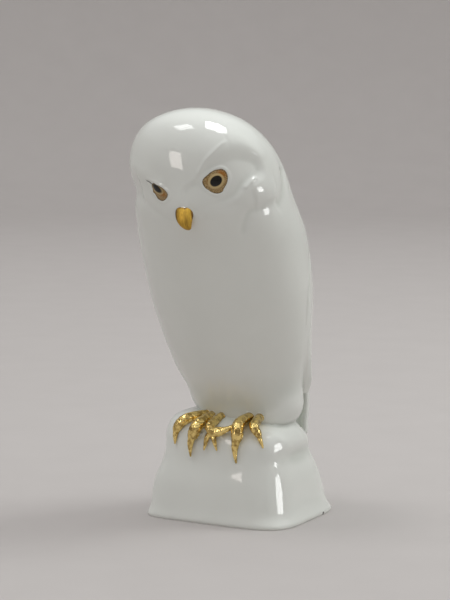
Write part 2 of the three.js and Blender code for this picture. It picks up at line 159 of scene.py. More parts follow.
# Face: closed line in degrees of longitude and latitude from the beak up the brow, round under the edge of
# the crown's feathers, down before the ruff and back under the eye; inside it the surface lies lower
FACE_EDGE = [(-3.2, 0.5), (-3.7, 5.5), (-3, 9.8), (0.7, 13.6), (9.7, 17.3), (16.3, 22.7), (21.2, 27.3),
             (28, 31), (36, 34), (46, 35), (56, 32), (63, 26), (68.5, 17), (67, 6), (60, 1), (50, -1),
             (42, -4.5), (34, -8), (24, -8.5), (13, -9.5), (3, -10)]
FACE_DEPTH = 0.6
FACE_SLOPE = 5  # degrees over which it falls to its depth
# Hollow behind the eye: longitude, latitude, reach, and how much deeper it is
TEMPLE = (47, 16, 25, 3.3)
# Gentler slope above it: longitude, latitude, reach, and over how many more degrees the face falls there
TEMPLE_SLOPE = (50, 28, 22, 10)

# Relief on the head along paths of longitude and latitude in degrees: width in degrees, height
LOW_BROW = [(-3.2, 1), (-3.7, 5.5), (-3, 9.8), (0.7, 13.6), (9.7, 17.3)]
LEFT_BROW = [(12, 19), (16.3, 22.7), (21.2, 27.5), (28, 31), (35, 34), (43, 36)]
RUFF_EDGE = [(44, 0.4), (50, 3.3), (56, 4.8)]
RIGHT_BROW = [(-17, 14), (-24, 18), (-31, 21.5), (-40, 24.5), (-52, 26.5), (-64, 28)]
HELMET = [(44, 39), (54, 37), (62, 30), (68.5, 22), (72, 13)]
FAR_TEMPLE = [(-46, 12), (-56, 11), (-66, 9), (-78, 7), (-92, 4)]
FAR_CHEEK = [(-66, -3), (-80, -4), (-94, -5)]
CHEEK = [(49, -6), (56, -6.5), (63, -7.5), (70, -9)]
NAPE_CREASE = [(92.5, 2), (90, -3), (85, -9), (79.5, -14), (74, -18), (67, -21)]
NAPE = [(112, -19), (140, -17), (180, -15)]
CHEEK_EDGE = [(72, -16.5), (62, -16.5), (54, -16.8), (46, -16.5), (41.5, -19), (38, -25), (35, -31)]
DISC_EDGE = [(8, -13), (15, -9), (25, -8), (38, -9.5)]
RIGHT_DISC_EDGE = [(-50, 4), (-40, -1), (-31, -6.5), (-21, -11), (-10, -13)]


def mirrored(path):
    """The same path on the other side of the head: longitudes change sign."""
    return [(-longitude, latitude) for longitude, latitude in path]


HEAD_RELIEF = [
    (LOW_BROW, 1.4, 0.08),
    (LEFT_BROW, 1.3, 0.6),
    (RUFF_EDGE, 1.2, 1.3),
    (FAR_CHEEK, 9, -1.1),
    (RIGHT_BROW, 5.5, 1.0),
    (HELMET, 7, 0.8),
    (FAR_TEMPLE, 10, -4.2),
    (CHEEK, 8.5, 1.8),
    (NAPE_CREASE, 4.2, -1.8),
    (CHEEK_EDGE, 3.4, -1.1),
    (DISC_EDGE, 3, -0.5),
    (RIGHT_DISC_EDGE, 4, -0.8),
    (mirrored(NAPE_CREASE), 6, -1),
    (NAPE, 13, -2),
    (mirrored(NAPE), 13, -2),
]
# Portions of a path's length between which its relief runs in at its start, and out at its end, where they
# are counted backward
RUN_IN, RUN_OUT = (-0.08, 0.12), (-1.08, -0.88)
PATH_STEPS = 8  # stretches that stand for the curve between two points of a path
# Eyes: longitude, latitude, radius in degrees, height of the ball, depth of its socket
LEFT_EYE = (25.7, 10.6, 10, 0.9, -1.2)
RIGHT_EYE = (-25, 10.5, 10, 0.6, -2.2)
SOCKET_REACH, BALL_REACH = 1.25, 0.72  # portions of the radius
# Rims of the eyes, closed lines of longitude and latitude
LEFT_RIM = [(15.8, 13), (21.1, 17.5), (29.2, 19.2), (33.9, 17.3), (35.3, 13.1), (34.2, 9.7), (30.4, 5),
            (28, 2.6), (24.3, 2.4), (18.9, 6.1)]
RIGHT_RIM = [(-34, 19.4), (-28, 17.3), (-22.3, 14.9), (-18.3, 11.8), (-15.3, 8.4), (-15.9, 6), (-19, 3.7),
             (-23.5, 3.5), (-26, 6), (-28.6, 9.6), (-31.4, 12.9), (-33.6, 17)]
# Roll outside a rim and groove inside it: degrees outside the line, reach and height
RIM_RELIEF = [(1.2, 1.1, 0.5), (-0.3, 0.9, -0.4)]

# Beak: longitude, latitude, distance from the head's centre, half width, half thickness
BEAK = [
    [-3.4, -3, 53, 7.6, 4.4],
    [-3.4, -6.4, 60.4, 8, 5.6],
    [-3, -9.6, 66, 7, 5],
    [-2.2, -13.4, 68.7, 4.8, 4],
    [-1.8, -17.2, 67.8, 2, 1.6],
]
BEAK_RINGS, BEAK_SIDES = 40, 40

# Toes: stations from the root under the belly over the knuckles to the claw and its tip, with their radii
TOES = [
    [[-18, -15, 85.5, 3.6], [-30.4, -36.7, 83.6, 4.5], [-37.8, -41, 76.5, 3.9],
     [-39.1, -43.2, 69.3, 2.2], [-38.7, -44.7, 62.6, 0.6]],
    [[-15, -15, 85.5, 4], [-16.4, -43.3, 80.8, 5.2], [-19.3, -47.7, 73.3, 4.8],
     [-21.9, -48.4, 65.2, 2.8], [-21.3, -49.5, 54.2, 0.7]],
    [[-5, -16, 87, 3.4], [-5.2, -43.8, 80.4, 4], [-2.3, -46.8, 75.2, 3],
     [0, -48.1, 69.6, 2.1], [2.9, -48.7, 61, 0.6]],
    [[21, -38, 84, 2.2], [11, -44.6, 79, 2.4], [2.8, -46, 76.3, 4],
     [-5.2, -46.4, 73, 2.7], [-7.7, -47.8, 67.5, 1.9], [-9, -48.7, 60.4, 0.6]],
    [[20.5, -16, 86.5, 4], [20, -41, 83.6, 5.1], [21.2, -47.2, 75.3, 5],
     [19.9, -48.7, 65.5, 3.1], [21.5, -49.8, 52.4, 0.7]],
    [[27, -12, 87, 3.6], [32.2, -37.6, 83, 4.2], [36.2, -40.1, 77.4, 3.3],
     [39.4, -41.1, 71.9, 2], [42, -40.9, 65.2, 0.6]],
]
TOE_RINGS, TOE_SIDES = 34, 22
# Swelling at the last knuckle and dent where the claw begins: station, reach, portion of the radius
TOE_SWELLINGS = [(2.15, 0.35, 0.07), (2.7, 0.22, -0.12)]
# Folds of the skin: height, number to a station, and the stations between which they fade in, and out,
# where they are counted backward
TOE_FOLDS = (0.16, 3.2, (0.6, 1.0), (-2.3, -2.0))

# Folded wings: height, centre forward, half width and half depth of the round they hang on,
# angle of the front edge and of the back edge from the owl's front, in degrees
WING_SECTIONS = [
    [224, -23.4, 67, 59, 112, 158],
    [200, -17, 68.6, 60, 97, 174],
    [178, -11, 67.4, 59, 91, 176],
    [156, -5, 64.2, 56.5, 91, 177],
    [138, 0.5, 62.4, 54.5, 95, 174],
    [122, 5, 61.4, 53, 102, 166],
    [112, 8, 60.6, 52.5, 108, 156],
    [105, 9, 58.6, 52, 116, 146],
    [100, 9.5, 57, 51, 124, 132],
]
WING_ROWS, WING_COLUMNS, WING_INNER_COLUMNS = 76, 57, 20
WING_ROW_POWER = 1.6  # draws the rows together toward the wing's tip
WING_SHOULDER = 0.3  # portion across in which a wing rises from the body
WING_THICKNESS = 15
WING_FEATHERS = 4
FEATHER_HEIGHTS = (190, 150)  # the long feathers part from each other between these
# Step from a feather to the next: height, and portions of its width between which a feather rises, and
# falls away, where they are counted backward
FEATHER_STEP, FEATHER_RISE, FEATHER_FALL = 1.1, (0.0, 0.85), (-1.0, -0.85)
FEATHER_SHAFT = (0.45, 0.08, 0.25)  # portion across, reach and height of its shaft

# Tail: height, half width, front face and back face
TAIL_SECTIONS = [
    [152, 30, 22, 50],
    [128, 36, 30, 55.5],
    [104, 38.4, 36, 60],
    [84, 37.4, 40, 63],
    [66, 35.8, 44, 64.5],
    [56, 29.4, 45, 63.5],
    [52, 19, 45.5, 61],
]
TAIL_ROWS, TAIL_COLUMNS, TAIL_INNER_COLUMNS = 44, 61, 31
TAIL_EDGE = 6  # thickness of its free edges
TAIL_ROUNDING = 5  # how far its back falls away to its sides
TAIL_ROOT = (0.5, 0.82)  # portions of its half width between which it thins to the free edge
TAIL_INNER_SPAN = 0.97  # portion of its half width that its front face spans
TAIL_FEATHERS = 5
TAIL_GROOVE = (0.14, 1.2)  # reach as a portion of a feather's width, and depth

BODY, ROCK, PLUMAGE, GILT = range(4)  # which form a face of the casting comes from


# ---------------------------------------------------------------- curves and grids

def natural_spline(knots, values, at):
    """Natural cubic spline: cubics between the knots that agree in slope and bend, and end unbent."""
    knots, values, at = np.asarray(knots, float), np.asarray(values, float), np.asarray(at, float)
    span = np.diff(knots)
    slope = np.diff(values, axis=0) / span[:, None]
    matrix = np.diag(2 * (span[:-1] + span[1:])) + np.diag(span[1:-1], 1) + np.diag(span[1:-1], -1)
    bend = np.zeros_like(values)
    bend[1:-1] = np.linalg.solve(matrix, 6 * np.diff(slope, axis=0))
    i = np.clip(np.searchsorted(knots, at) - 1, 0, len(span) - 1)
    step, left, right = (part[:, None] for part in (span[i], knots[i + 1] - at, at - knots[i]))
    return ((bend[i] * left ** 3 + bend[i + 1] * right ** 3) / (6 * step)
            + (values[i] / step - bend[i] * step / 6) * left
            + (values[i + 1] / step - bend[i + 1] * step / 6) * right)


PROFILE_SAMPLES = 4000


def section_rows(table, radius_columns, count, closeness=np.ones_like):
    """Rows of a section table, spread along its profile and closer where closeness is greater.

    Splines run over the profile's length. The first section is a pole, so the table is continued past
    it with its radii turned negative, and the splines cross it level.
    """
    table = np.array(table, float)
    steps = np.hypot(np.diff(table[:, 0]), np.diff(table[:, radius_columns[0]]))
    along = np.concatenate([[0], np.cumsum(steps)])
    before = table[1].copy()
    before[list(radius_columns)] *= -1
    knots, values = np.concatenate([[-along[1]], along]), np.vstack([before, table])
    fine = np.linspace(0, along[-1], PROFILE_SAMPLES)
    weight = closeness(natural_spline(knots, values, fine)[:, 0])
    crowd = np.concatenate([[0], np.cumsum((weight[1:] + weight[:-1]) / 2)])
    at = np.interp(np.linspace(0, crowd[-1], count + 1)[1:], crowd, fine)
    return natural_spline(knots, values, at)


def sections_at(table, z, first=1):
    """Columns of a section table at falling heights, from the column that is named first on."""
    table = np.array(table, float)
    return natural_spline(-table[:, 0], table[:, first:], -z).T[:, :, None]


def smoothstep(value, low, high):
    """0 below low, 1 above high, and a cubic with level ends between them."""
    t = np.clip((value - low) / (high - low), 0, 1)
    return t * t * (3 - 2 * t)


def bell(distance, reach):
    """Gaussian bell: 1 in the middle and 1/e at reach."""
    return np.exp(-(distance / reach) ** 2)


def signed_power(value, power):
    """Power of a value's size, with the value's sign."""
    return np.sign(value) * np.abs(value) ** power


def points_of(x, y, z):
    """Points from their three parts, each spread over the others' shape."""
    return np.stack(np.broadcast_arrays(x, y, z), -1)


def ring_faces(count, sides):
    """Faces over rings of points that are numbered from 1: the quads between each ring and the next, and
    the fans of triangles to a pole before the first ring and a pole after the last."""
    index = 1 + np.arange(count * sides).reshape(count, sides)
    beside = np.roll(index, -1, axis=1)
    quads = np.stack([index[:-1], index[1:], beside[1:], beside[:-1]], -1).reshape(-1, 4)
    first = np.stack([np.zeros(sides, int), index[0], beside[0]], -1)
    last = np.stack([np.full(sides, count * sides + 1), beside[-1], index[-1]], -1)
    return quads, first, last


def closed_grid(rings, top, bottom, form):
    """Skin over rings of points that run the same way round, closed by a fan of triangles at a pole
    at each end, with its faces turned outward."""
    points = np.vstack([[top], rings.reshape(-1, 3), [bottom]])
    quads, first, last = ring_faces(*rings.shape[:2])
    tris = np.vstack([first, last, quads[:, :3], quads[:, [0, 2, 3]]])
    volume = np.einsum("ij,ij->", points[tris[:, 0]], np.cross(points[tris[:, 1]], points[tris[:, 2]]))
    faces = [quads, np.vstack([first, last])]
    if volume < 0:
        faces = [part[:, ::-1] for part in faces]
    return points, faces, form


def plate(outer, inner):
    """Closed plate of plumage: rows of an outer skin, each run back by a row of the inner one."""
    rings = np.concatenate([outer, inner], axis=1)
    return closed_grid(rings, rings[0].mean(0), rings[-1].mean(0), PLUMAGE)


def sweep(centres, wide, thick, sides, wide_axis, form):
    """Tapered form round a line of centres: each ring is an ellipse square to the line, with its wide
    axis nearest to wide_axis, and the line goes on by the last radius to a rounded tip."""
    ahead = np.gradient(centres, axis=0)
    ahead /= np.linalg.norm(ahead, axis=1, keepdims=True)
    across = wide_axis - (ahead @ wide_axis)[:, None] * ahead
    across /= np.linalg.norm(across, axis=1, keepdims=True)
    upward = np.cross(ahead, across)
    angle = 2 * np.pi * np.arange(sides) / sides
    rings = (centres[:, None] + (wide[:, None] * np.cos(angle))[..., None] * across[:, None]
             + (thick[:, None] * np.sin(angle))[..., None] * upward[:, None])
    return closed_grid(rings, centres[0], centres[-1] + ahead[-1] * min(wide[-1], thick[-1]), form)


# ---------------------------------------------------------------- the head

def head_axes():
    """The head's own left, forward and up: turned about the vertical, then bowed, then tilted."""
    turn, bow, tilt = np.radians((HEAD_TURN, HEAD_BOW, HEAD_TILT))
    level = np.array((np.sin(turn), -np.cos(turn), 0))
    side = np.array((np.cos(turn), np.sin(turn), 0))
    up = np.array((0.0, 0.0, 1.0))
    bowed_up = up * np.cos(bow) + level * np.sin(bow)
    return np.array((
        side * np.cos(tilt) + bowed_up * np.sin(tilt),
        level * np.cos(bow) - up * np.sin(bow),
        bowed_up * np.cos(tilt) - side * np.sin(tilt),
    ))


HEAD_LEFT, HEAD_FORWARD, HEAD_UP = head_axes()


def head_point(longitude, latitude, distance):
    """Point at a longitude and latitude in degrees and a distance from the head's centre."""
    across, upward = np.radians(longitude), np.radians(latitude)
    parts = (np.cos(upward) * np.sin(across), np.cos(upward) * np.cos(across), np.sin(upward))
    axes = (HEAD_LEFT, HEAD_FORWARD, HEAD_UP)
    return HEAD_CENTRE + distance * sum(part * axis for part, axis in zip(parts, axes))


def path_distance(x, y, path):
    """Distance in the plane to a line of straight stretches, and the portion along it of the nearest
    point."""
    nearest, portion = np.full(x.shape, np.inf), np.zeros(x.shape)
    for i, ((ax, ay), (bx, by)) in enumerate(zip(path, path[1:])):
        dx, dy = bx - ax, by - ay
        along = np.clip(((x - ax) * dx + (y - ay) * dy) / (dx * dx + dy * dy), 0, 1)
        away = np.hypot(x - ax - along * dx, y - ay - along * dy)
        closer = away < nearest
        nearest, portion = np.where(closer, away, nearest), np.where(closer, i + along, portion)
    return nearest, portion / (len(path) - 1)


def smooth_path(path, closed=False):
    """The path's corners rounded: a spline through its points, sampled in short stretches. A closed path
    is run past its start at both ends, so that the spline goes through the seam as elsewhere."""
    points = np.array(path, float)
    first, stretches = 0, len(path) - 1
    if closed:
        points = np.vstack([points[-3:], points, points[:4]])
        first, stretches = 3, len(path)
    fine = first + np.linspace(0, stretches, stretches * PATH_STEPS + 1)
    return natural_spline(np.arange(len(points)), points, fine)


def rim_distance(longitude, latitude, rim):
    """Distance to a closed line in degrees, negative inside it. The inside is where the line winds
    round the point, found by counting the stretches that a ray to the right crosses."""
    line = smooth_path(rim, closed=True)
    away = path_distance(longitude, latitude, line)[0]
    inside = np.zeros(longitude.shape, bool)
    for (ax, ay), (bx, by) in zip(line, line[1:]):
        if ay != by:
            crossing = (ay > latitude) != (by > latitude)
            inside ^= crossing & (longitude < (bx - ax) * (latitude - ay) / (by - ay) + ax)
    return np.where(inside, -away, away)


def head_relief(longitude, latitude):
    """Height of the modelled face over the plain egg of the head: a bell over the muzzle, a step down
    inside the face's edge, deeper and more gentle behind the eye, bells across the paths of brows, hollows
    and creases, which run out at their ends, and a ball in each socket with a rim and a groove round it."""
    x, y, across, upward, height = MUZZLE
    relief = height * bell(longitude - x, across) * bell(latitude - y, upward)
    x, y, reach, deeper = TEMPLE
    temple = bell(np.hypot(longitude - x, latitude - y), reach)
    x, y, reach, wider = TEMPLE_SLOPE
    slope = FACE_SLOPE + wider * bell(np.hypot(longitude - x, latitude - y), reach)
    within = -rim_distance(longitude, latitude, FACE_EDGE)
    relief -= (FACE_DEPTH + deeper * temple) * smoothstep(within / slope, 0, 1)
    for path, width, peak in HEAD_RELIEF:
        away, along = path_distance(longitude, latitude, smooth_path(path))
        run_out = smoothstep(along, *RUN_IN) * smoothstep(-along, *RUN_OUT)
        relief += peak * run_out * bell(away, width)
    for (x, y, radius, ball, socket), rim in ((LEFT_EYE, LEFT_RIM), (RIGHT_EYE, RIGHT_RIM)):
        away = np.hypot(longitude - x, latitude - y) / radius
        relief += socket * bell(away, SOCKET_REACH) + (ball - socket) * bell(away, BALL_REACH)
        edge = rim_distance(longitude, latitude, rim)
        relief += sum(height * bell(edge - outside, reach) for outside, reach, height in RIM_RELIEF)
    return relief


def moulded(points):
    """Points moved straight away from the head's centre by the relief, which fades out down the neck."""
    offset = points - HEAD_CENTRE
    across, ahead, upward = offset @ HEAD_LEFT, offset @ HEAD_FORWARD, offset @ HEAD_UP
    latitude = np.degrees(np.arctan2(upward, np.hypot(across, ahead)))
    longitude = np.degrees(np.arctan2(across, ahead))
    height = smoothstep(latitude, *NECK_FADE) * head_relief(longitude, latitude)
    return points + offset * (height / np.linalg.norm(offset, axis=-1))[..., None]


# ---------------------------------------------------------------- the forms

def owl_body():
    """Level rings round the section table, a little fuller than ellipses on their diagonals, with the
    face modelled on them."""
    def closeness(height):
        (low, high), (low_blend, high_blend) = FACE_HEIGHTS, FACE_HEIGHT_BLENDS
        above = smoothstep(height, low - low_blend, low + low_blend)
        below = smoothstep(-height, -high - high_blend, -high + high_blend)
        return 1 + (FACE_ROW_CROWDING - 1) * above * below

    rows = section_rows(OWL_SECTIONS, (3, 4), OWL_ROWS, closeness)[:-1]
    z, middle_x, middle_y, half_width, half_depth = rows.T[:, :, None]
    even = 2 * np.pi * np.arange(OWL_COLUMNS) / OWL_COLUMNS
    angle = even - FACE_CROWDING * np.sin(even - FACE_SIDE)
    fuller = 1 + OWL_FULLNESS * np.sin(2 * angle) ** 2
    rings = points_of(middle_x + half_width * np.sin(angle) * fuller,
                      middle_y - half_depth * np.cos(angle) * fuller, z)
    top, bottom = OWL_SECTIONS[0], OWL_SECTIONS[-1]
    return closed_grid(moulded(rings), (top[1], top[2], top[0]), (bottom[1], bottom[2], bottom[0]), BODY)


def rock_body():
    """Level squared rings round the section table, whose front is turned and whose top falls to one side,
    pushed out by bells and cut flat by planes with a soft edge."""
    rows = section_rows(ROCK_SECTIONS, (1, 2, 3), ROCK_ROWS)
    rows[-1, 0] = 0
    z, right_half, left_half, half_depth, squareness = rows.T[:, :, None]
    angle = 2 * np.pi * np.arange(ROCK_COLUMNS) / ROCK_COLUMNS
    to_left, to_front = np.sin(angle) > 0, np.cos(angle) > 0
    squareness = squareness * np.where(to_front, np.where(to_left, LEFT_SQUARENESS, 1), BACK_SQUARENESS)
    x = np.where(to_left, left_half, right_half) * signed_power(np.sin(angle), 2 / squareness)
    y = -half_depth * signed_power(np.cos(angle), 2 / squareness)
    line, slope = FRONT_TURN
    turned = np.logaddexp(0, (line - x) / FRONT_SOFTNESS) * FRONT_SOFTNESS * slope
    y = y + turned * smoothstep(-y, 0, FRONT_DEPTH)
    *across, fall = TOP_FALL
    z = z - fall * smoothstep(x, *across) * smoothstep(z, *TOP_FALL_HEIGHTS)
    points = points_of(x, y, z)
    outward = points - np.array(ROCK_MIDDLE)
    outward /= np.linalg.norm(outward, axis=-1, keepdims=True)
    moved = np.zeros(x.shape)
    for centre, reach, height in ROCK_RELIEF:
        moved += height * bell(np.linalg.norm(points - np.array(centre), axis=-1), reach)
    points = points + outward * (moved * smoothstep(points[..., 2], 0, RELIEF_FADE))[..., None]
    for facing, distance, softness in ROCK_FACETS:
        over = points @ np.array(facing) - distance
        cut = softness * np.logaddexp(0, over / softness) * smoothstep(points[..., 2], 0, FACET_FADE)
        points = points - cut[..., None] * np.array(facing)
    return closed_grid(points, (0, 0, ROCK_SECTIONS[0][0]), (0, 0, 0), ROCK)


def toe(stations):
    """Sweep along a spline through a toe's stations: swollen at the last knuckle, drawn in where the claw
    leaves the toe, and folded between by a sine along it."""
    stations = np.array(stations)
    t = np.linspace(0, len(stations) - 1, TOE_RINGS)
    at = natural_spline(np.arange(len(stations)), stations, t)
    fuller = 1
    for place, reach, portion in TOE_SWELLINGS:
        fuller = fuller + portion * bell(t - place, reach)
    height, number, begin, end = TOE_FOLDS
    folds = height * np.sin(2 * np.pi * t * number) * smoothstep(t, *begin) * smoothstep(-t, *end)
    radius = at[:, 3] * fuller + folds
    return sweep(at[:, :3], radius, radius, TOE_SIDES, np.array((1.0, 0, 0)), GILT)


def beak():
    """Sweep along a spline through the beak's stations, wide at the root and drawn to a hooked tip."""
    stations = np.array(BEAK)
    t = np.linspace(0, len(stations) - 1, BEAK_RINGS)
    at = natural_spline(np.arange(len(stations)), stations, t)
    centres = np.array([head_point(*row) for row in at[:, :3]])
    return sweep(centres, at[:, 3], at[:, 4], BEAK_SIDES, HEAD_LEFT, GILT)


def wing(side):
    """Folded wing: a curved plate between a front and a back edge on the owl's flank, parted into long
    feathers that step down one under the next; side is 1 for the owl's left."""
    top, bottom = WING_SECTIONS[0][0], WING_SECTIONS[-1][0]
    z = bottom + (top - bottom) * (1 - np.linspace(0, 1, WING_ROWS)) ** WING_ROW_POWER
    middle_y, half_width, half_depth, front, back = sections_at(WING_SECTIONS, z)
    owl_y, owl_width, owl_depth = sections_at(OWL_SECTIONS, z, 2)

    def place(portion, inward):
        angle = np.radians(front + (back - front) * portion)
        out = smoothstep(portion, 0, WING_SHOULDER)
        width = owl_width + (half_width - owl_width) * out - inward
        depth = owl_depth + (half_depth - owl_depth) * out - inward
        return points_of(side * width * np.sin(angle),
                         owl_y + (middle_y - owl_y) * out - depth * np.cos(angle), z[:, None])

    portion = np.linspace(0, 1, WING_COLUMNS)[None]
    parting = smoothstep(-z[:, None], -FEATHER_HEIGHTS[0], -FEATHER_HEIGHTS[1])
    in_feather = (portion * WING_FEATHERS) % 1
    step = FEATHER_STEP * smoothstep(in_feather, *FEATHER_RISE) * smoothstep(-in_feather, *FEATHER_FALL)
    across, reach, height = FEATHER_SHAFT
    shaft = height * bell(in_feather - across, reach)
    outer = place(portion, (FEATHER_STEP - step - shaft) * parting)
    inner = place(1 - np.linspace(0, 1, WING_INNER_COLUMNS)[None], WING_THICKNESS)
    return plate(outer, inner)


def tail():
    """Tail: level sections whose back falls away by the fourth power of the place across, grooved between
    its feathers, and whose front thins to the free edges."""
    z = np.linspace(TAIL_SECTIONS[0][0], TAIL_SECTIONS[-1][0], TAIL_ROWS)
    half_width, front, back = sections_at(TAIL_SECTIONS, z)

    def rounded(across):
        return back - TAIL_ROUNDING * across ** 4

    across = np.linspace(1, -1, TAIL_COLUMNS)[None]
    reach, depth = TAIL_GROOVE
    groove = bell((across * TAIL_FEATHERS / 2 + 0.5) % 1 - 0.5, reach)
    outer = points_of(half_width * across, rounded(across) - depth * groove, z[:, None])
    across = np.linspace(-TAIL_INNER_SPAN, TAIL_INNER_SPAN, TAIL_INNER_COLUMNS)[None]
    thinned = smoothstep(np.abs(across), *TAIL_ROOT)
    face = front + (rounded(across) - TAIL_EDGE - front) * thinned
    return plate(outer, points_of(half_width * across, face, z[:, None]))


# ---------------------------------------------------------------- meshes

def mesh_of(form, name):
    """Mesh of one form in metres, whose faces remember the form in their material index."""
    points, faces, kind = form
    mesh = bpy.data.meshes.new(name)
    mesh.from_pydata((points * MM).tolist(), [], [face for part in faces for face in part.tolist()])
    for _ in range(GILT + 1):
        mesh.materials.append(None)
    mesh.polygons.foreach_set("material_index", np.full(len(mesh.polygons), kind, np.int32))
    return mesh


def joined(forms, name):
    """One closed mesh from forms that run into each other, by Boolean unions one after another."""
    scene = bpy.context.scene
    objects = [bpy.data.objects.new(f"form_{i}", mesh_of(form, f"form_{i}")) for i, form in enumerate(forms)]
    for part in objects:
        scene.collection.objects.link(part)
    for part in objects[1:]:
        union = objects[0].modifiers.new("union", "BOOLEAN")
        union.operation = "UNION"
        union.solver = "MANIFOLD"
        union.object = part
    bpy.context.view_layer.update()
    evaluated = objects[0].evaluated_get(bpy.context.evaluated_depsgraph_get())
    mesh = bpy.data.meshes.new_from_object(evaluated)
    mesh.name = name
    for part in objects:
        data = part.data
        bpy.data.objects.remove(part)
        bpy.data.meshes.remove(data)
    return mesh


def array_of(collection, attribute, width=1, kind=np.float64):
    """One attribute of a whole collection as an array."""
    values = np.empty(len(collection) * width, kind)
    collection.foreach_get(attribute, values)
    return values.reshape(-1, width) if width > 1 else values


def neighbour_mean(values, edges, count):
    """Mean of the values at the far ends of each vertex's edges."""
    total = np.zeros((len(count), values.shape[1]))
    for near, far in ((0, 1), (1, 0)):
        for column in range(values.shape[1]):
            total[:, column] += np.bincount(edges[:, near], values[edges[:, far], column], len(count))
    return total / count[:, None]


SEAM_SPREAD, SEAM_FADE = 4, 0.6  # edges that softening reaches from a seam, and what is left over each
SEAM_STEP = 0.6  # portion of the way to the mean that a vertex moves in a round


def soften_seams(mesh, rounds):
    """Rounds the seams where two forms meet, as glaze fills them: vertices near a seam move toward the
    mean of their neighbours, fully at the seam and less with each edge away from it. Gives back the
    edges and how many of them meet at each vertex."""
    points = array_of(mesh.vertices, "co", 3)
    edges = array_of(mesh.edges, "vertices", 2, np.int32)
    loop_edge = array_of(mesh.loops, "edge_index", 1, np.int32)
    sides = array_of(mesh.polygons, "loop_total", 1, np.int32)
    kind = np.repeat(array_of(mesh.polygons, "material_index", 1, np.int32), sides)
    lowest, highest = np.full(len(edges), GILT), np.full(len(edges), BODY)
    np.minimum.at(lowest, loop_edge, kind)
    np.maximum.at(highest, loop_edge, kind)
    weight, free = np.zeros(len(points)), np.ones(len(points))
    weight[edges[(lowest != highest) & (highest != GILT)].ravel()] = 1
    free[edges[highest == GILT].ravel()] = 0
    for _ in range(SEAM_SPREAD):
        spread = np.zeros(len(points))
        for near, far in ((0, 1), (1, 0)):
            np.maximum.at(spread, edges[:, near], weight[edges[:, far]] * SEAM_FADE)
        weight = np.maximum(weight, spread) * free
    count = np.maximum(np.bincount(edges.ravel(), minlength=len(points)), 1)
    for _ in range(rounds):
        points += weight[:, None] * SEAM_STEP * (neighbour_mean(points, edges, count) - points)
    mesh.vertices.foreach_set("co", points.ravel())
    return edges, count


def fit_inside(mesh):
    """Squeezes the mesh along an axis where it stands proud of the solid's box, by tenths of a
    millimetre, and keeps its underside level."""
    points = array_of(mesh.vertices, "co", 3)
    low, high = np.array(CAD_LOW), np.array(CAD_HIGH)
    for axis in range(3):
        reach = points[:, axis]
        least, most = reach.min(), reach.max()
        inner_low, inner_high = max(least, low[axis]), min(most, high[axis])
        points[:, axis] = inner_low + (reach - least) * (inner_high - inner_low) / (most - least)
    mesh.vertices.foreach_set("co", points.ravel())
    return points


HOLLOW_ROUNDS = 18  # how often the surroundings are averaged
HOLLOW_DEPTH = 0.6 * MM  # depth that counts as a full hollow


def store_hollows(mesh, points, edges, count):
    """Attribute hollow: how far each vertex lies below the mean of its surroundings, from 0 to 1, where
    glaze runs together and lies thick, and where the gold's folds are given painted shade."""
    mesh.update()
    normals = array_of(mesh.vertices, "normal", 3)
    smoothed = points
    for _ in range(HOLLOW_ROUNDS):
        smoothed = neighbour_mean(smoothed, edges, count)
    depth = np.einsum("ij,ij->i", smoothed - points, normals)
    depth = neighbour_mean(depth[:, None], edges, count)[:, 0]
    layer = mesh.attributes.new("hollow", "FLOAT", "POINT")
    layer.data.foreach_set("value", np.clip(depth / HOLLOW_DEPTH, 0, 1).astype(np.float32))


# ---------------------------------------------------------------- materials

MIX = {"data_type": "RGBA"}
SHARE, ONE, OTHER, MIXED = 0, 6, 7, 2  # sockets of a colour mix: how far it goes from one to the other
SMOOTH = {"interpolation_type": "SMOOTHSTEP"}


def set_inputs(tree, node, inputs):
    """Gives each named input of a node its constant, or links the socket that is given for it."""
    for name, value in inputs.items():
        if isinstance(value, bpy.types.NodeSocket):
            tree.links.new(value, node.inputs[name])
        else:
            node.inputs[name].default_value = value


def add_node(tree, kind, inputs=None, settings=None, output=0):
    """Adds a node with its settings and inputs. Gives back the output that is asked for, or the node
    itself for None."""
    node = tree.nodes.new(kind)
    for name, value in (settings or {}).items():
        setattr(node, name, value)
    set_inputs(tree, node, inputs or {})
    return node if output is None else node.outputs[output]


def new_material(name):
    """Empty node material with its shader and output."""
    material = bpy.data.materials.new(name)
    material.use_nodes = True
    tree = material.node_tree
    tree.nodes.clear()
    shader = add_node(tree, "ShaderNodeBsdfPrincipled", output=None)
    add_node(tree, "ShaderNodeOutputMaterial", {"Surface": shader.outputs[0]}, output=None)
    return material, tree, shader


def rgba(colour):
    """Colour with full alpha."""
    return (*colour, 1.0)


def set_curve(node, corners):
    """Sets a curve through corners whose places run from 0 to 1 both ways."""
    points = node.mapping.curves[0].points
    while len(points) < len(corners):
        points.new(0.5, 0.5)
    for point, place in zip(points, corners):
        point.location = place
    node.mapping.update()


# Glaze: sizes of its clouds, its ripple and the changes of its gloss
CLOUD_SIZE, RIPPLE_SIZE, GLOSS_SIZE = 38 * MM, 13 * MM, 6 * MM
RIPPLE_HEIGHT, RIPPLE_STRENGTH = 0.1 * MM, 0.12
GLOSS_RANGE = (0.04, 0.075)
HOLLOW_SHARE, CLOUD_SHARE = 0.55, 0.22  # how far hollows and clouds turn to the thick glaze's colour
GLAZE_IOR = 1.5


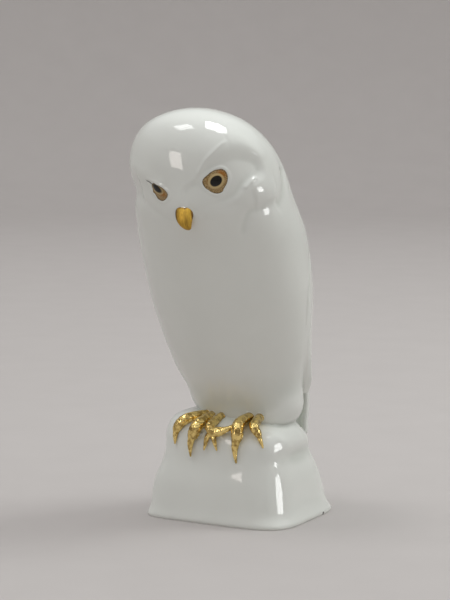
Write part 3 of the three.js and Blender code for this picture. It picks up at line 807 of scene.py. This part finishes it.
def glaze(tree, colours):
    """Glaze as it lies on every white face, from its own colour where it is thin to the thick glaze's
    where it runs together: colour, roughness, and a normal with a slow ripple."""
    place = add_node(tree, "ShaderNodeTexCoord", output="Object")
    hollow = add_node(tree, "ShaderNodeAttribute", {}, {"attribute_name": "hollow"}, "Fac")
    cloud = add_node(tree, "ShaderNodeTexNoise", {"Vector": place, "Scale": 1 / CLOUD_SIZE})
    cloud = add_node(tree, "ShaderNodeMath", {0: cloud, 1: CLOUD_SHARE}, {"operation": "MULTIPLY"})
    thick = add_node(tree, "ShaderNodeMath", {0: hollow, 1: HOLLOW_SHARE, 2: cloud},
                     {"operation": "MULTIPLY_ADD"})
    colour = add_node(tree, "ShaderNodeMix", {
        SHARE: thick, ONE: rgba(colours.glaze), OTHER: rgba(colours.thick_glaze)}, MIX, MIXED)
    ripple = add_node(tree, "ShaderNodeTexNoise", {"Vector": place, "Scale": 1 / RIPPLE_SIZE, "Detail": 1.0})
    normal = add_node(tree, "ShaderNodeBump", {
        "Strength": RIPPLE_STRENGTH, "Distance": RIPPLE_HEIGHT, "Height": ripple})
    change = add_node(tree, "ShaderNodeTexNoise", {"Vector": place, "Scale": 1 / GLOSS_SIZE})
    gloss = add_node(tree, "ShaderNodeMapRange", {
        "Value": change, "From Min": 0.3, "From Max": 0.8,
        "To Min": GLOSS_RANGE[0], "To Max": GLOSS_RANGE[1]}, SMOOTH)
    return colour, gloss, normal


SPECK = (69.2, 20.4, 1.4)  # iron speck at the foot
SPECK_EDGE = (1.3 * MM, 1.8 * MM)


def white_porcelain(colours):
    """Hard-paste porcelain, slip-cast and fired under a clear glaze: a cool white that turns grey-green
    where the glaze lies thick, under a near-mirror gloss with a slow ripple, and one burnt iron speck."""
    material, tree, shader = new_material("glazed_hard_porcelain")
    colour, gloss, normal = glaze(tree, colours)
    place = add_node(tree, "ShaderNodeTexCoord", output="Object")
    away = add_node(tree, "ShaderNodeVectorMath", {0: place, 1: tuple(v * MM for v in SPECK)},
                    {"operation": "DISTANCE"}, "Value")
    speck = add_node(tree, "ShaderNodeMapRange", {
        "Value": away, "From Min": SPECK_EDGE[0], "From Max": SPECK_EDGE[1],
        "To Min": 1.0, "To Max": 0.0}, SMOOTH)
    spotted = add_node(tree, "ShaderNodeMix", {SHARE: speck, ONE: colour, OTHER: rgba(colours.speck)},
                       MIX, MIXED)
    set_inputs(tree, shader, {"Base Color": spotted, "Roughness": gloss, "Normal": normal, "IOR": GLAZE_IOR})
    return material


# Gold: sizes of its thin patches, of its dull places and of its wrinkles, which stand for the scales of the
# toes and are drawn coarser than those, because finer ones don't show in the render
PATCH_SIZE, DULL_SIZE, WRINKLE_SIZE = 4 * MM, 3 * MM, 2.4 * MM
WRINKLE_HEIGHT = 0.9 * MM
# The share below applies to the thin gold and to the painted shade in the folds alike
THIN_AND_FOLD_SHADE_SHARE = 0.6  # how far thin gold turns to its own colour
GOLD_ROUGHNESS = (0.03, 0.12)


def fired_gold(colours):
    """Bright gold lustre, brushed on the glaze in an uneven film and fired: mirror bright and pale on the
    knuckles, olive brown where the film is thin, painted shade in the same olive brown in the folds, and
    finely wrinkled."""
    material, tree, shader = new_material("fired_bright_gold")
    place = add_node(tree, "ShaderNodeTexCoord", output="Object")
    hollow = add_node(tree, "ShaderNodeAttribute", {}, {"attribute_name": "hollow"}, "Fac")
    # Painted shade: the gold's folds, found by the hollow attribute, turn to the thin gold's olive brown
    folds = add_node(tree, "ShaderNodeMapRange", {"Value": hollow, "From Min": 0.1, "From Max": 0.7}, SMOOTH)
    patches = add_node(tree, "ShaderNodeTexNoise", {"Vector": place, "Scale": 1 / PATCH_SIZE, "Detail": 2.0})
    patches = add_node(tree, "ShaderNodeMapRange", {
        "Value": patches, "From Min": 0.42, "From Max": 0.64}, SMOOTH)
    thin = add_node(tree, "ShaderNodeMath", {0: patches, 1: folds}, {"operation": "MAXIMUM"})
    thin = add_node(tree, "ShaderNodeMath", {0: thin, 1: THIN_AND_FOLD_SHADE_SHARE}, {"operation": "MULTIPLY"})
    colour = add_node(tree, "ShaderNodeMix", {
        SHARE: thin, ONE: rgba(colours.gold), OTHER: rgba(colours.thin_gold_and_fold_shade)}, MIX, MIXED)
    dull = add_node(tree, "ShaderNodeTexNoise", {"Vector": place, "Scale": 1 / DULL_SIZE})
    dull = add_node(tree, "ShaderNodeMapRange", {
        "Value": dull, "From Min": 0.3, "From Max": 0.75,
        "To Min": GOLD_ROUGHNESS[0], "To Max": GOLD_ROUGHNESS[1]}, SMOOTH)
    wrinkles = add_node(tree, "ShaderNodeTexNoise", {
        "Vector": place, "Scale": 1 / WRINKLE_SIZE, "Detail": 1.0})
    bump = add_node(tree, "ShaderNodeBump", {
        "Strength": 1.0, "Distance": WRINKLE_HEIGHT, "Height": wrinkles})
    set_inputs(tree, shader, {"Base Color": colour, "Metallic": 1.0, "Roughness": dull, "Normal": bump})
    return material


def plane_on_head(longitude, latitude, distance):
    """Place and turn of a plane that faces out of the head: its first axis runs with longitude, its
    second with latitude."""
    here = head_point(longitude, latitude, distance)
    out = here - HEAD_CENTRE
    out /= np.linalg.norm(out)
    up = HEAD_UP - (HEAD_UP @ out) * out
    up /= np.linalg.norm(up)
    turn = Matrix(np.array((np.cross(up, out), up, out)).T.tolist())
    return Vector(here * MM), turn.to_euler()


def local_place(tree, plane):
    """Millimetres across and up a plane on the head: the whole vector and its two parts."""
    place = add_node(tree, "ShaderNodeTexCoord", output="Object")
    location, turn = plane_on_head(*plane)
    local = add_node(tree, "ShaderNodeMapping", {
        "Vector": place, "Location": location, "Rotation": turn, "Scale": (MM, MM, MM)},
        {"vector_type": "TEXTURE"})
    parts = add_node(tree, "ShaderNodeSeparateXYZ", {0: local}, output=None).outputs
    return local, parts[0], parts[1]


OVAL_DEPTH = 1e3  # half size of an oval along the plane's third axis, so great that it doesn't count


def oval(tree, local, shape, edge):
    """1 inside an oval and 0 outside it: centre across and up, half sizes, turn in degrees, and the
    portions of its size between which it fades."""
    across, up, half_long, half_short, turn = shape
    centred = add_node(tree, "ShaderNodeMapping", {
        "Vector": local, "Location": (across, up, 0), "Rotation": (0, 0, math.radians(turn)),
        "Scale": (half_long, half_short, OVAL_DEPTH)}, {"vector_type": "TEXTURE"})
    away = add_node(tree, "ShaderNodeVectorMath", {0: centred}, {"operation": "LENGTH"}, "Value")
    return add_node(tree, "ShaderNodeMapRange", {
        "Value": away, "From Min": edge[0], "From Max": edge[1], "To Min": 1.0, "To Max": 0.0}, SMOOTH)


OUTLINE_SPAN = 16.0  # millimetres at the top of an eye's outline curve
WOBBLE, WOBBLE_SCALE = 0.5, 0.55  # millimetres that the brush strays from the outline, and how often
# Brush strokes that fan out from the pupil: how fast they change round it and outward, and their scale
STROKES_ROUND, STROKES_OUTWARD, STROKE_SCALE = 9.0, 0.5, 1.3
AMBER_EDGE, RING_EDGE, LINE_EDGE = (0.3, 1.2), (0.95, 1.12), (0.3, 1.1)  # where each oval fades
# Millimetres inside the outline between which the enamel comes to cover the glaze, and over which the brown
# line along it fades, with that line's strength and what is left of it between two strokes
ENAMEL_EDGE, RIM_LINE = (-0.15, 0.3), (0.2, 1.5)
RIM_STRENGTH, RIM_LEFT = 0.9, 0.45


def painted_eye(name, colours, eye):
    """Enamel eye painted on the glaze and fired with it: brown strokes round the rim, a taupe iris in
    tan strokes with amber washes, a pale ring and a black pupil."""
    material, tree, shader = new_material(name)
    white, gloss, normal = glaze(tree, colours)
    local, across, up = local_place(tree, eye["plane"])
    angle = add_node(tree, "ShaderNodeMath", {0: up, 1: across}, {"operation": "ARCTAN2"})
    flat = add_node(tree, "ShaderNodeCombineXYZ", {0: across, 1: up})
    radius = add_node(tree, "ShaderNodeVectorMath", {0: flat}, {"operation": "LENGTH"}, "Value")
    # The outline is a curve of the distance from the middle over the angle round it
    turn = add_node(tree, "ShaderNodeMapRange", {"Value": angle, "From Min": -math.pi, "From Max": math.pi})
    curve = add_node(tree, "ShaderNodeFloatCurve", {"Value": turn}, output=None)
    corners = sorted((math.atan2(y, x) / (2 * math.pi) + 0.5, math.hypot(x, y) / OUTLINE_SPAN)
                     for x, y in eye["outline"])
    seam = float(np.interp(1.0, [corners[-1][0], corners[0][0] + 1], [corners[-1][1], corners[0][1]]))
    set_curve(curve, [(0.0, seam), *corners, (1.0, seam)])
    hand = add_node(tree, "ShaderNodeTexNoise", {"Vector": local, "Scale": WOBBLE_SCALE, "Detail": 1.0})
    hand = add_node(tree, "ShaderNodeMath", {0: hand, 1: 0.5}, {"operation": "SUBTRACT"})
    strayed = add_node(tree, "ShaderNodeMath", {0: hand, 1: WOBBLE, 2: radius},
                       {"operation": "MULTIPLY_ADD"})
    rim = add_node(tree, "ShaderNodeMath", {0: curve.outputs[0], 1: OUTLINE_SPAN}, {"operation": "MULTIPLY"})
    inside = add_node(tree, "ShaderNodeMath", {0: rim, 1: strayed}, {"operation": "SUBTRACT"})
    spokes = add_node(tree, "ShaderNodeMath", {0: angle, 1: STROKES_ROUND}, {"operation": "MULTIPLY"})
    outward = add_node(tree, "ShaderNodeMath", {0: radius, 1: STROKES_OUTWARD}, {"operation": "MULTIPLY"})
    brush = add_node(tree, "ShaderNodeCombineXYZ", {0: spokes, 1: outward})
    strokes = add_node(tree, "ShaderNodeTexNoise", {"Vector": brush, "Scale": STROKE_SCALE, "Detail": 2.0})
    stroke = add_node(tree, "ShaderNodeMapRange", {
        "Value": strokes, "From Min": 0.36, "From Max": 0.64}, SMOOTH)
    iris = add_node(tree, "ShaderNodeMix", {
        SHARE: stroke, ONE: rgba(colours.iris_light), OTHER: rgba(colours.iris_dark)}, MIX, MIXED)
    for shape, amount in eye["amber"]:
        wash = oval(tree, local, shape, AMBER_EDGE)
        wash = add_node(tree, "ShaderNodeMath", {0: wash, 1: amount}, {"operation": "MULTIPLY"})
        iris = add_node(tree, "ShaderNodeMix", {SHARE: wash, ONE: iris, OTHER: rgba(colours.iris_amber)},
                        MIX, MIXED)
    ring = oval(tree, local, eye["ring"], RING_EDGE)
    iris = add_node(tree, "ShaderNodeMix", {SHARE: ring, ONE: iris, OTHER: rgba(colours.iris_ring)},
                    MIX, MIXED)
    pupil = oval(tree, local, eye["pupil"], eye["pupil_edge"])
    iris = add_node(tree, "ShaderNodeMix", {SHARE: pupil, ONE: iris, OTHER: rgba(colours.pupil)}, MIX, MIXED)
    near_rim = add_node(tree, "ShaderNodeMapRange", {
        "Value": inside, "From Min": RIM_LINE[0], "From Max": RIM_LINE[1],
        "To Min": RIM_STRENGTH, "To Max": 0.0}, SMOOTH)
    broken = add_node(tree, "ShaderNodeMapRange", {
        "Value": strokes, "From Min": 0.4, "From Max": 0.6, "To Min": RIM_LEFT, "To Max": 1.0}, SMOOTH)
    dark = add_node(tree, "ShaderNodeMath", {0: near_rim, 1: broken}, {"operation": "MULTIPLY"})
    iris = add_node(tree, "ShaderNodeMix", {SHARE: dark, ONE: iris, OTHER: rgba(colours.eye_line)},
                    MIX, MIXED)
    covered = add_node(tree, "ShaderNodeMapRange", {
        "Value": inside, "From Min": ENAMEL_EDGE[0], "From Max": ENAMEL_EDGE[1]}, SMOOTH)
    painted = add_node(tree, "ShaderNodeMix", {SHARE: covered, ONE: white, OTHER: iris}, MIX, MIXED)
    for shape, amount in eye["lines"]:
        line = oval(tree, local, shape, LINE_EDGE)
        line = add_node(tree, "ShaderNodeMath", {0: line, 1: amount}, {"operation": "MULTIPLY"})
        painted = add_node(tree, "ShaderNodeMix", {SHARE: line, ONE: painted, OTHER: rgba(colours.pupil)},
                           MIX, MIXED)
    set_inputs(tree, shader, {"Base Color": painted, "Roughness": gloss, "Normal": normal, "IOR": GLAZE_IOR})
    return material


# Eye paint: plane on the head (longitude, latitude, distance); outline in millimetres on that plane; ovals
# as centre, half sizes and turn in degrees, and where a pupil's edge fades; washes and lines with their
# strength
LEFT_EYE_PAINT = {
    "plane": (25.7, 10.6, 64.7),
    "outline": [(-10.6, 2.7), (-4.7, 7.5), (3.6, 9.4), (8.7, 7.6), (10.3, 3), (9.4, -0.9), (5.2, -6.3),
                (2.6, -8.9), (-1.5, -9.2), (-7.4, -5), (-10.1, -1.4)],
    "pupil": (0.1, 0.75, 5.1, 4.0, 20),
    "pupil_edge": (0.9, 1.1),
    "ring": (0.1, 0.75, 6.6, 5.6, 20),
    "amber": [((5.8, 5.4, 4.8, 3.4, 140), 0.85), ((-5.6, 2.4, 3.0, 2.2, 60), 0.35)],
    "lines": [],
}
RIGHT_EYE_PAINT = {
    "plane": (-23.6, 10.2, 61),
    "outline": [(-6.9, 7.0), (-0.7, 6.1), (4.6, 3.2), (7.4, -0.4), (7.8, -3.2), (5.1, -5.9), (1, -7.3),
                (-2.2, -6), (-4.6, -2.2), (-7.5, 2.3)],
    "pupil": (-1.7, 3.3, 6.5, 3.0, -36),
    "pupil_edge": (0.6, 1.15),
    "ring": (-1.5, 2.9, 6.4, 3.2, -36),
    "amber": [((3.0, -1.1, 4.4, 2.6, -40), 0.85)],
    "lines": [((-9.2, 8.3, 5.6, 0.75, -31), 0.8)],
}

# Gilding on the beak: plane on the head, the edge where it begins, in millimetres on that plane, and the
# span across in which the edge is given
BEAK_PLANE = (-0.7, -4, 70)
GILDING_EDGE = [(-9, 2.6), (-7.7, 2.6), (-4.5, 2.1), (-2.2, 1.9), (-0.8, 1.4), (0.6, 1.4), (2, 1.8),
                (4.8, 1.6), (6.2, 2.4), (7.1, 4), (9, 4.4)]
GILDING_SPAN = (-9, 9)
# Brush streaks across the beak, with painted shade down its right side where the brown runs up to full:
# # portion across, and the colour's share of brown
BEAK_STREAKS_AND_SHADE = [(0, 0.9), (0.06, 0.6), (0.13, 0.2), (0.3, 0.1), (0.44, 0.22), (0.5, 0.36), (0.55, 0.12),
                (0.65, 0), (0.705, 0.2), (0.765, 0.95), (1, 1)]
BRISTLE_SCALE = (1.6, 0.16, 0.5)  # finer streaks in a millimetre across, up and out
BRISTLE_BROWN = (-0.18, 0.22)  # how much less and more brown they are
# Millimetres below the gilding's edge between which the gold comes to cover the glaze, and over which it
# fades from brown, with that brown's strength
GOLD_EDGE, LIP, LIP_BROWN = (-0.2, 0.25), (0.1, 1.3), 0.7
SATIN_ROUGHNESS = 0.58


def beak_gold(colours):
    """Gold brushed on the beak and left unburnished: satin, streaked along the brush from ochre to yellow,
    brown at the left side, painted shade in brown down the right side, a little brown down the middle, and
    brown where it runs out over the white glaze."""
    material, tree, shader = new_material("brushed_satin_gold")
    white, gloss, normal = glaze(tree, colours)
    local, across, up = local_place(tree, BEAK_PLANE)
    first, last = GILDING_SPAN
    width = last - first
    along = add_node(tree, "ShaderNodeMapRange", {"Value": across, "From Min": first, "From Max": last})
    edge = add_node(tree, "ShaderNodeFloatCurve", {"Value": along}, output=None)
    set_curve(edge, [((x - first) / width, y / width) for x, y in GILDING_EDGE])
    top = add_node(tree, "ShaderNodeMath", {0: edge.outputs[0], 1: width}, {"operation": "MULTIPLY"})
    below = add_node(tree, "ShaderNodeMath", {0: top, 1: up}, {"operation": "SUBTRACT"})
    gilded = add_node(tree, "ShaderNodeMapRange", {
        "Value": below, "From Min": GOLD_EDGE[0], "From Max": GOLD_EDGE[1]}, SMOOTH)
    # The curve across paints the brush streaks and, in brown, painted shade down the beak's right side
    streaks = add_node(tree, "ShaderNodeFloatCurve", {"Value": along}, output=None)
    set_curve(streaks, BEAK_STREAKS_AND_SHADE)
    fine = add_node(tree, "ShaderNodeMapping", {"Vector": local, "Scale": BRISTLE_SCALE})
    fine = add_node(tree, "ShaderNodeTexNoise", {"Vector": fine, "Scale": 1.0, "Detail": 2.0})
    fine = add_node(tree, "ShaderNodeMapRange", {
        "Value": fine, "From Min": 0.35, "From Max": 0.65,
        "To Min": BRISTLE_BROWN[0], "To Max": BRISTLE_BROWN[1]})
    lip = add_node(tree, "ShaderNodeMapRange", {
        "Value": below, "From Min": LIP[0], "From Max": LIP[1], "To Min": LIP_BROWN, "To Max": 0.0}, SMOOTH)
    brown = add_node(tree, "ShaderNodeMath", {0: streaks.outputs[0], 1: fine}, {"operation": "ADD"})
    brown = add_node(tree, "ShaderNodeMath", {0: brown, 1: lip}, {"operation": "ADD", "use_clamp": True})
    gold = add_node(tree, "ShaderNodeMix", {
        SHARE: brown, ONE: rgba(colours.beak_gold), OTHER: rgba(colours.beak_brown_and_shade)}, MIX, MIXED)
    colour = add_node(tree, "ShaderNodeMix", {SHARE: gilded, ONE: white, OTHER: gold}, MIX, MIXED)
    satin = add_node(tree, "ShaderNodeMapRange", {
        "Value": gilded, "To Min": GLOSS_RANGE[1], "To Max": SATIN_ROUGHNESS})
    set_inputs(tree, shader, {
        "Base Color": colour, "Metallic": gilded, "Roughness": satin, "Normal": normal, "IOR": GLAZE_IOR})
    return material


FOOT_GRAIN, FOOT_ROUGHNESS = 1.5 * MM, 0.75


def bare_foot(colours):
    """Unglazed porcelain, ground flat where the piece stood in the kiln: dry, even and slightly grey."""
    material, tree, shader = new_material("ground_unglazed_porcelain")
    place = add_node(tree, "ShaderNodeTexCoord", output="Object")
    grain = add_node(tree, "ShaderNodeTexNoise", {"Vector": place, "Scale": 1 / FOOT_GRAIN, "Detail": 4.0})
    grain = add_node(tree, "ShaderNodeMapRange", {"Value": grain, "From Min": 0.3, "From Max": 0.7}, SMOOTH)
    colour = add_node(tree, "ShaderNodeMix", {
        SHARE: grain, ONE: rgba(colours.bare_body), OTHER: rgba(colours.bare_grain)}, MIX, MIXED)
    set_inputs(tree, shader, {"Base Color": colour, "Roughness": FOOT_ROUGHNESS})
    return material


# ---------------------------------------------------------------- settings

class OWL_PG_sizes(bpy.types.PropertyGroup):
    """Sizes that a user would change."""
    seam_rounds: FloatProperty(
        name="Seam softening", description="How far glaze rounds the seams", default=8, min=0)
    edge_of_foot: FloatProperty(
        name="Bare foot height", description="Height up to which the foot is unglazed",
        default=0.6 * MM, unit="LENGTH", precision=4)


def colour_property(name, description, colour):
    """Colour setting with its default from an sRGB hex value."""
    return FloatVectorProperty(name=name, description=description, subtype="COLOR", size=3, min=0, max=1,
                               default=linear(colour))


class OWL_PG_colours(bpy.types.PropertyGroup):
    """Colours of the finishes."""
    glaze: colour_property("Glaze", "White body under a thin glaze", "#eff1ec")
    thick_glaze: colour_property("Thick glaze", "Where the glaze runs together", "#d5dad2")
    bare_body: colour_property("Bare body", "Unglazed foot", "#d9d4c9")
    bare_grain: colour_property("Bare body, grain", "Darker grain of the unglazed foot", "#b9b4aa")
    speck: colour_property("Speck", "Burnt iron speck at the foot", "#2a2522")
    gold: colour_property("Gold", "Bright fired gold", "#fcdf91")
    # Thin gold also serves as the painted shade in the gold's folds
    thin_gold_and_fold_shade: colour_property("Thin gold", "Where the gold is thin", "#7d5a1c")
    beak_gold: colour_property("Beak gold", "Satin gold of the beak", "#cfa94b")
    # Beak brown also serves as the painted shade down the beak's right side
    beak_brown_and_shade: colour_property("Beak brown", "Brown streaks of the beak", "#75562f")
    iris_light: colour_property("Iris, light strokes", "Light strokes of the iris", "#bda071")
    iris_dark: colour_property("Iris, dark strokes", "Dark strokes of the iris", "#8b7142")
    iris_amber: colour_property("Iris, amber", "Amber wash of the iris", "#a4681f")
    iris_ring: colour_property("Pale ring", "Ring round the pupil", "#c8b07e")
    pupil: colour_property("Pupil", "Black enamel", "#12100d")
    eye_line: colour_property("Eye line", "Brown strokes round the eye", "#463922")


class OWL_PG_stage(bpy.types.PropertyGroup):
    """Studio round the object."""
    floor: colour_property("Floor", "Pale paper sweep", "#c3bebc")
    floor_grain: colour_property("Floor, clouds", "Second tone of the sweep", "#beb9b7")
    sky: FloatProperty(
        name="Fill light", description="Strength of the soft light from all round", default=0.62)
    key: FloatProperty(
        name="Key light", default=36,
        description="Power of the right overhead softbox in watts, which the other lights follow")


# ---------------------------------------------------------------- operators

GLAZED, GOLD, LEFT_ENAMEL, RIGHT_ENAMEL, BARE, BEAK_GOLD = range(6)  # the mesh's materials
HEAD_FROM = 200  # gilding above this height is the beak's, below it the toes'
EYE_REACH = 21  # millimetres round an eye that carry its paint
UNDERSIDE = -0.5  # upward part of a face's normal below which it looks down


class OWL_OT_figurine(bpy.types.Operator):
    """Make the porcelain owl and its rock, cast in one piece, glazed, painted and gilded"""
    bl_idname = "owl.figurine"
    bl_label = "Figurine"

    def execute(self, context):
        sizes, colours = context.scene.owl_sizes, context.scene.owl_colours
        forms = [owl_body(), rock_body(), wing(1), wing(-1), tail(), beak(), *map(toe, TOES)]
        mesh = joined(forms, "porcelain_owl_figurine")
        edges, count = soften_seams(mesh, round(sizes.seam_rounds))
        points = fit_inside(mesh)
        store_hollows(mesh, points, edges, count)
        self.paint(mesh, colours, sizes)
        mesh.shade_smooth()
        piece = bpy.data.objects.new("porcelain_owl_figurine", mesh)
        context.scene.collection.objects.link(piece)
        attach(piece, "root")
        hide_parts("porcelain_owl")
        return {"FINISHED"}

    def paint(self, mesh, colours, sizes):
        """Gives each face its finish: gold on the beak and toes, enamel round the eyes, bare foot."""
        kind = array_of(mesh.polygons, "material_index", 1, np.int32)
        centre = array_of(mesh.polygons, "center", 3) / MM
        normal = array_of(mesh.polygons, "normal", 3)
        gilding = np.where(centre[:, 2] > HEAD_FROM, BEAK_GOLD, GOLD)
        finish = np.where(kind == GILT, gilding, GLAZED)
        for enamel, eye in ((LEFT_ENAMEL, LEFT_EYE_PAINT), (RIGHT_ENAMEL, RIGHT_EYE_PAINT)):
            near = np.linalg.norm(centre - head_point(*eye["plane"]), axis=1) < EYE_REACH
            finish = np.where(near & (finish == GLAZED), enamel, finish)
        foot = (centre[:, 2] < sizes.edge_of_foot / MM) & (normal[:, 2] < UNDERSIDE)
        finish = np.where(foot, BARE, finish)
        mesh.materials.clear()
        for material in (
            white_porcelain(colours),
            fired_gold(colours),
            painted_eye("painted_left_eye", colours, LEFT_EYE_PAINT),
            painted_eye("painted_right_eye", colours, RIGHT_EYE_PAINT),
            bare_foot(colours),
            beak_gold(colours),
        ):
            mesh.materials.append(material)
        mesh.polygons.foreach_set("material_index", finish.astype(np.int32))


# Camera: azimuth and elevation in degrees, distance, lens and sensor, the sideways shift and the height
# of its aim, and, in metres, between what distances it sees
CAMERA_AZIMUTH, CAMERA_ELEVATION, CAMERA_DISTANCE = 27.4, 6.9, 1892
CAMERA_LENS, CAMERA_SENSOR = 135, 36
CAMERA_AIM = (-12.7, 181.1)
CAMERA_CLIP = (0.05, 40)

# Paper sweep, in metres: radii of its level part, radius where it starts to curve up by a quarter of a
# circle 1 m in radius, and heights of the wall above the curve
SWEEP_LEVEL, SWEEP_CURVE, SWEEP_WALL = [0.3, 1.2, 2.2], 3.0, [1.6, 2.2]
SWEEP_STEPS, SWEEP_SIDES = 16, 96
PAPER_CLOUD = 60 * MM
PAPER_ROUGHNESS, PAPER_SPECULAR = 0.8, 0.2

# Sky: its tone, the upward part of the direction between which it brightens, and its strengths there as
# shares of the fill light
SKY_COLOUR, SKY_RISE, SKY_SHARES = (0.985, 0.99, 0.985, 1), (0.1, 1.0), (0.5, 1.5)

# Lights: name, azimuth from the camera's and elevation in degrees, distance and size in metres, share of the
# key power, colour, aim in millimetres, roll in degrees, whether it lights the glaze and the sweep, and
# whether they mirror it
WHITE, HEAD_AIM = "#ffffff", (0, -30, 300)
LIGHTS = [
    ("softbox_right", 122, 77.6, 2.6, (1.3, 0.8), 1, WHITE, HEAD_AIM, -37, False, True),
    ("softbox_left", -86, 68, 2.6, (0.72, 0.74), 0.3, WHITE, HEAD_AIM, 0, True, True),
    ("window_left", -50, 10, 0.8, (0.19, 0.27), 0.024, "#fff6f0", HEAD_AIM, 4, False, True),
    ("window_right", 71, 8, 2.4, (0.5, 0.5), 0.2, WHITE, (50, -50, 280), 0, False, True),
    ("lamp_right", 105, 48, 2.4, (1, 1), 0.46, "#fafffd", (0, 0, 150), 0, True, False),
    ("backdrop_light", 0, 24.6, 2.64, (2.4, 0.6), 0.12, WHITE, (-1841, 3551, 900), 0, True, False),
]


def toward(azimuth, elevation):
    """Direction at an azimuth from -Y toward +X and an elevation, in degrees."""
    a, e = math.radians(azimuth), math.radians(elevation)
    return Vector((math.sin(a) * math.cos(e), -math.cos(a) * math.cos(e), math.sin(e)))


class OWL_OT_stage(bpy.types.Operator):
    """Make the floor, the light and the camera"""
    bl_idname = "owl.stage"
    bl_label = "Stage"

    def execute(self, context):
        scene, settings = context.scene, context.scene.owl_stage
        self.sweep_floor(scene, settings)
        self.sky(scene, settings)
        for light in LIGHTS:
            self.softbox(scene, settings, *light)
        camera = bpy.data.objects.new("camera", bpy.data.cameras.new("camera"))
        camera.data.lens = CAMERA_LENS
        camera.data.sensor_width = CAMERA_SENSOR
        camera.data.clip_start, camera.data.clip_end = CAMERA_CLIP
        back = toward(CAMERA_AZIMUTH, CAMERA_ELEVATION)
        turn = math.radians(CAMERA_AZIMUTH)
        right = Vector((math.cos(turn), math.sin(turn), 0))
        aim = right * CAMERA_AIM[0] * MM + Vector((0, 0, CAMERA_AIM[1] * MM))
        camera.location = aim + back * CAMERA_DISTANCE * MM
        camera.rotation_euler = back.to_track_quat("Z", "Y").to_euler()
        scene.collection.objects.link(camera)
        scene.camera = camera
        scene.view_settings.view_transform = "Standard"
        return {"FINISHED"}

    def sweep_floor(self, scene, settings):
        """Paper sweep: a level disc that curves up into a low wall all round, as a profile turned about
        the vertical."""
        bend = np.linspace(0, np.pi / 2, SWEEP_STEPS)
        wall = np.full(len(SWEEP_WALL), SWEEP_CURVE + 1)
        radius = np.concatenate([SWEEP_LEVEL, SWEEP_CURVE + np.sin(bend), wall])[:, None]
        height = np.concatenate([np.zeros(len(SWEEP_LEVEL)), 1 - np.cos(bend), SWEEP_WALL])[:, None]
        angle = 2 * np.pi * np.arange(SWEEP_SIDES) / SWEEP_SIDES
        rings = points_of(radius * np.sin(angle), radius * np.cos(angle), height)
        quads, middle, _ = ring_faces(len(radius), SWEEP_SIDES)
        mesh = bpy.data.meshes.new("paper_sweep")
        mesh.from_pydata([(0, 0, 0), *rings.reshape(-1, 3).tolist()], [], quads.tolist() + middle.tolist())
        mesh.shade_smooth()
        material, tree, shader = new_material("pale_paper")
        place = add_node(tree, "ShaderNodeTexCoord", output="Object")
        grain = add_node(tree, "ShaderNodeTexNoise", {"Vector": place, "Scale": 1 / PAPER_CLOUD})
        colour = add_node(tree, "ShaderNodeMix", {
            SHARE: grain, ONE: rgba(settings.floor), OTHER: rgba(settings.floor_grain)}, MIX, MIXED)
        set_inputs(tree, shader, {
            "Base Color": colour, "Roughness": PAPER_ROUGHNESS, "Specular IOR Level": PAPER_SPECULAR})
        mesh.materials.append(material)
        floor = bpy.data.objects.new("paper_sweep", mesh)
        scene.collection.objects.link(floor)

    def sky(self, scene, settings):
        """Soft light from all round, brighter from above as under a pale ceiling."""
        world = bpy.data.worlds.new("studio")
        scene.world = world
        world.use_nodes = True
        tree = world.node_tree
        tree.nodes.clear()
        place = add_node(tree, "ShaderNodeTexCoord", output="Generated")
        up = add_node(tree, "ShaderNodeSeparateXYZ", {0: place}, output="Z")
        glow = add_node(tree, "ShaderNodeMapRange", {
            "Value": up, "From Min": SKY_RISE[0], "From Max": SKY_RISE[1],
            "To Min": settings.sky * SKY_SHARES[0], "To Max": settings.sky * SKY_SHARES[1]}, SMOOTH)
        background = add_node(tree, "ShaderNodeBackground", {"Color": SKY_COLOUR, "Strength": glow})
        add_node(tree, "ShaderNodeOutputWorld", {"Surface": background}, output=None)

    def softbox(self, scene, settings, name, azimuth, elevation, distance, size, share, colour, aim, roll,
                lights, shines):
        """Rectangular light that stands round the object and faces it, turned in its own plane by roll. It
        lights what stands before it, or is mirrored in it, or both."""
        data = bpy.data.lights.new(name, "AREA")
        data.shape = "RECTANGLE"
        data.size, data.size_y = size
        data.energy = settings.key * share
        data.color = linear(colour)
        lamp = bpy.data.objects.new(name, data)
        target = Vector(aim) * MM
        lamp.location = target + toward(CAMERA_AZIMUTH + azimuth, elevation) * distance
        facing = (lamp.location - target).to_track_quat("Z", "Y")
        lamp.rotation_euler = (facing @ Quaternion((0, 0, 1), math.radians(roll))).to_euler()
        lamp.visible_diffuse, lamp.visible_glossy = lights, shines
        scene.collection.objects.link(lamp)


class OWL_PT_panel(bpy.types.Panel):
    """Panel that lists the operators and the settings"""
    bl_idname = "OWL_PT_panel"
    bl_label = "Porcelain owl"
    bl_space_type = "VIEW_3D"
    bl_region_type = "UI"
    bl_category = "Owl"

    def draw(self, context):
        for operator in OPERATORS:
            self.layout.operator(operator.bl_idname)
        for settings in (context.scene.owl_sizes, context.scene.owl_colours, context.scene.owl_stage):
            for name in settings.__annotations__:
                self.layout.prop(settings, name)


OPERATORS = (OWL_OT_figurine, OWL_OT_stage)
CLASSES = (OWL_PG_sizes, OWL_PG_colours, OWL_PG_stage, *OPERATORS, OWL_PT_panel)


def register():
    """Registers the classes and hangs the settings on the scene."""
    for cls in CLASSES:
        bpy.utils.register_class(cls)
    bpy.types.Scene.owl_sizes = PointerProperty(type=OWL_PG_sizes)
    bpy.types.Scene.owl_colours = PointerProperty(type=OWL_PG_colours)
    bpy.types.Scene.owl_stage = PointerProperty(type=OWL_PG_stage)


def unregister():
    """Takes the settings off the scene and the classes out."""
    del bpy.types.Scene.owl_sizes, bpy.types.Scene.owl_colours, bpy.types.Scene.owl_stage
    for cls in reversed(CLASSES):
        bpy.utils.unregister_class(cls)


def main():
    """Makes the figurine and its stage."""
    register()
    bpy.ops.owl.figurine()
    bpy.ops.owl.stage()
    bpy.context.view_layer.update()


if __name__ == "__main__":
    main()
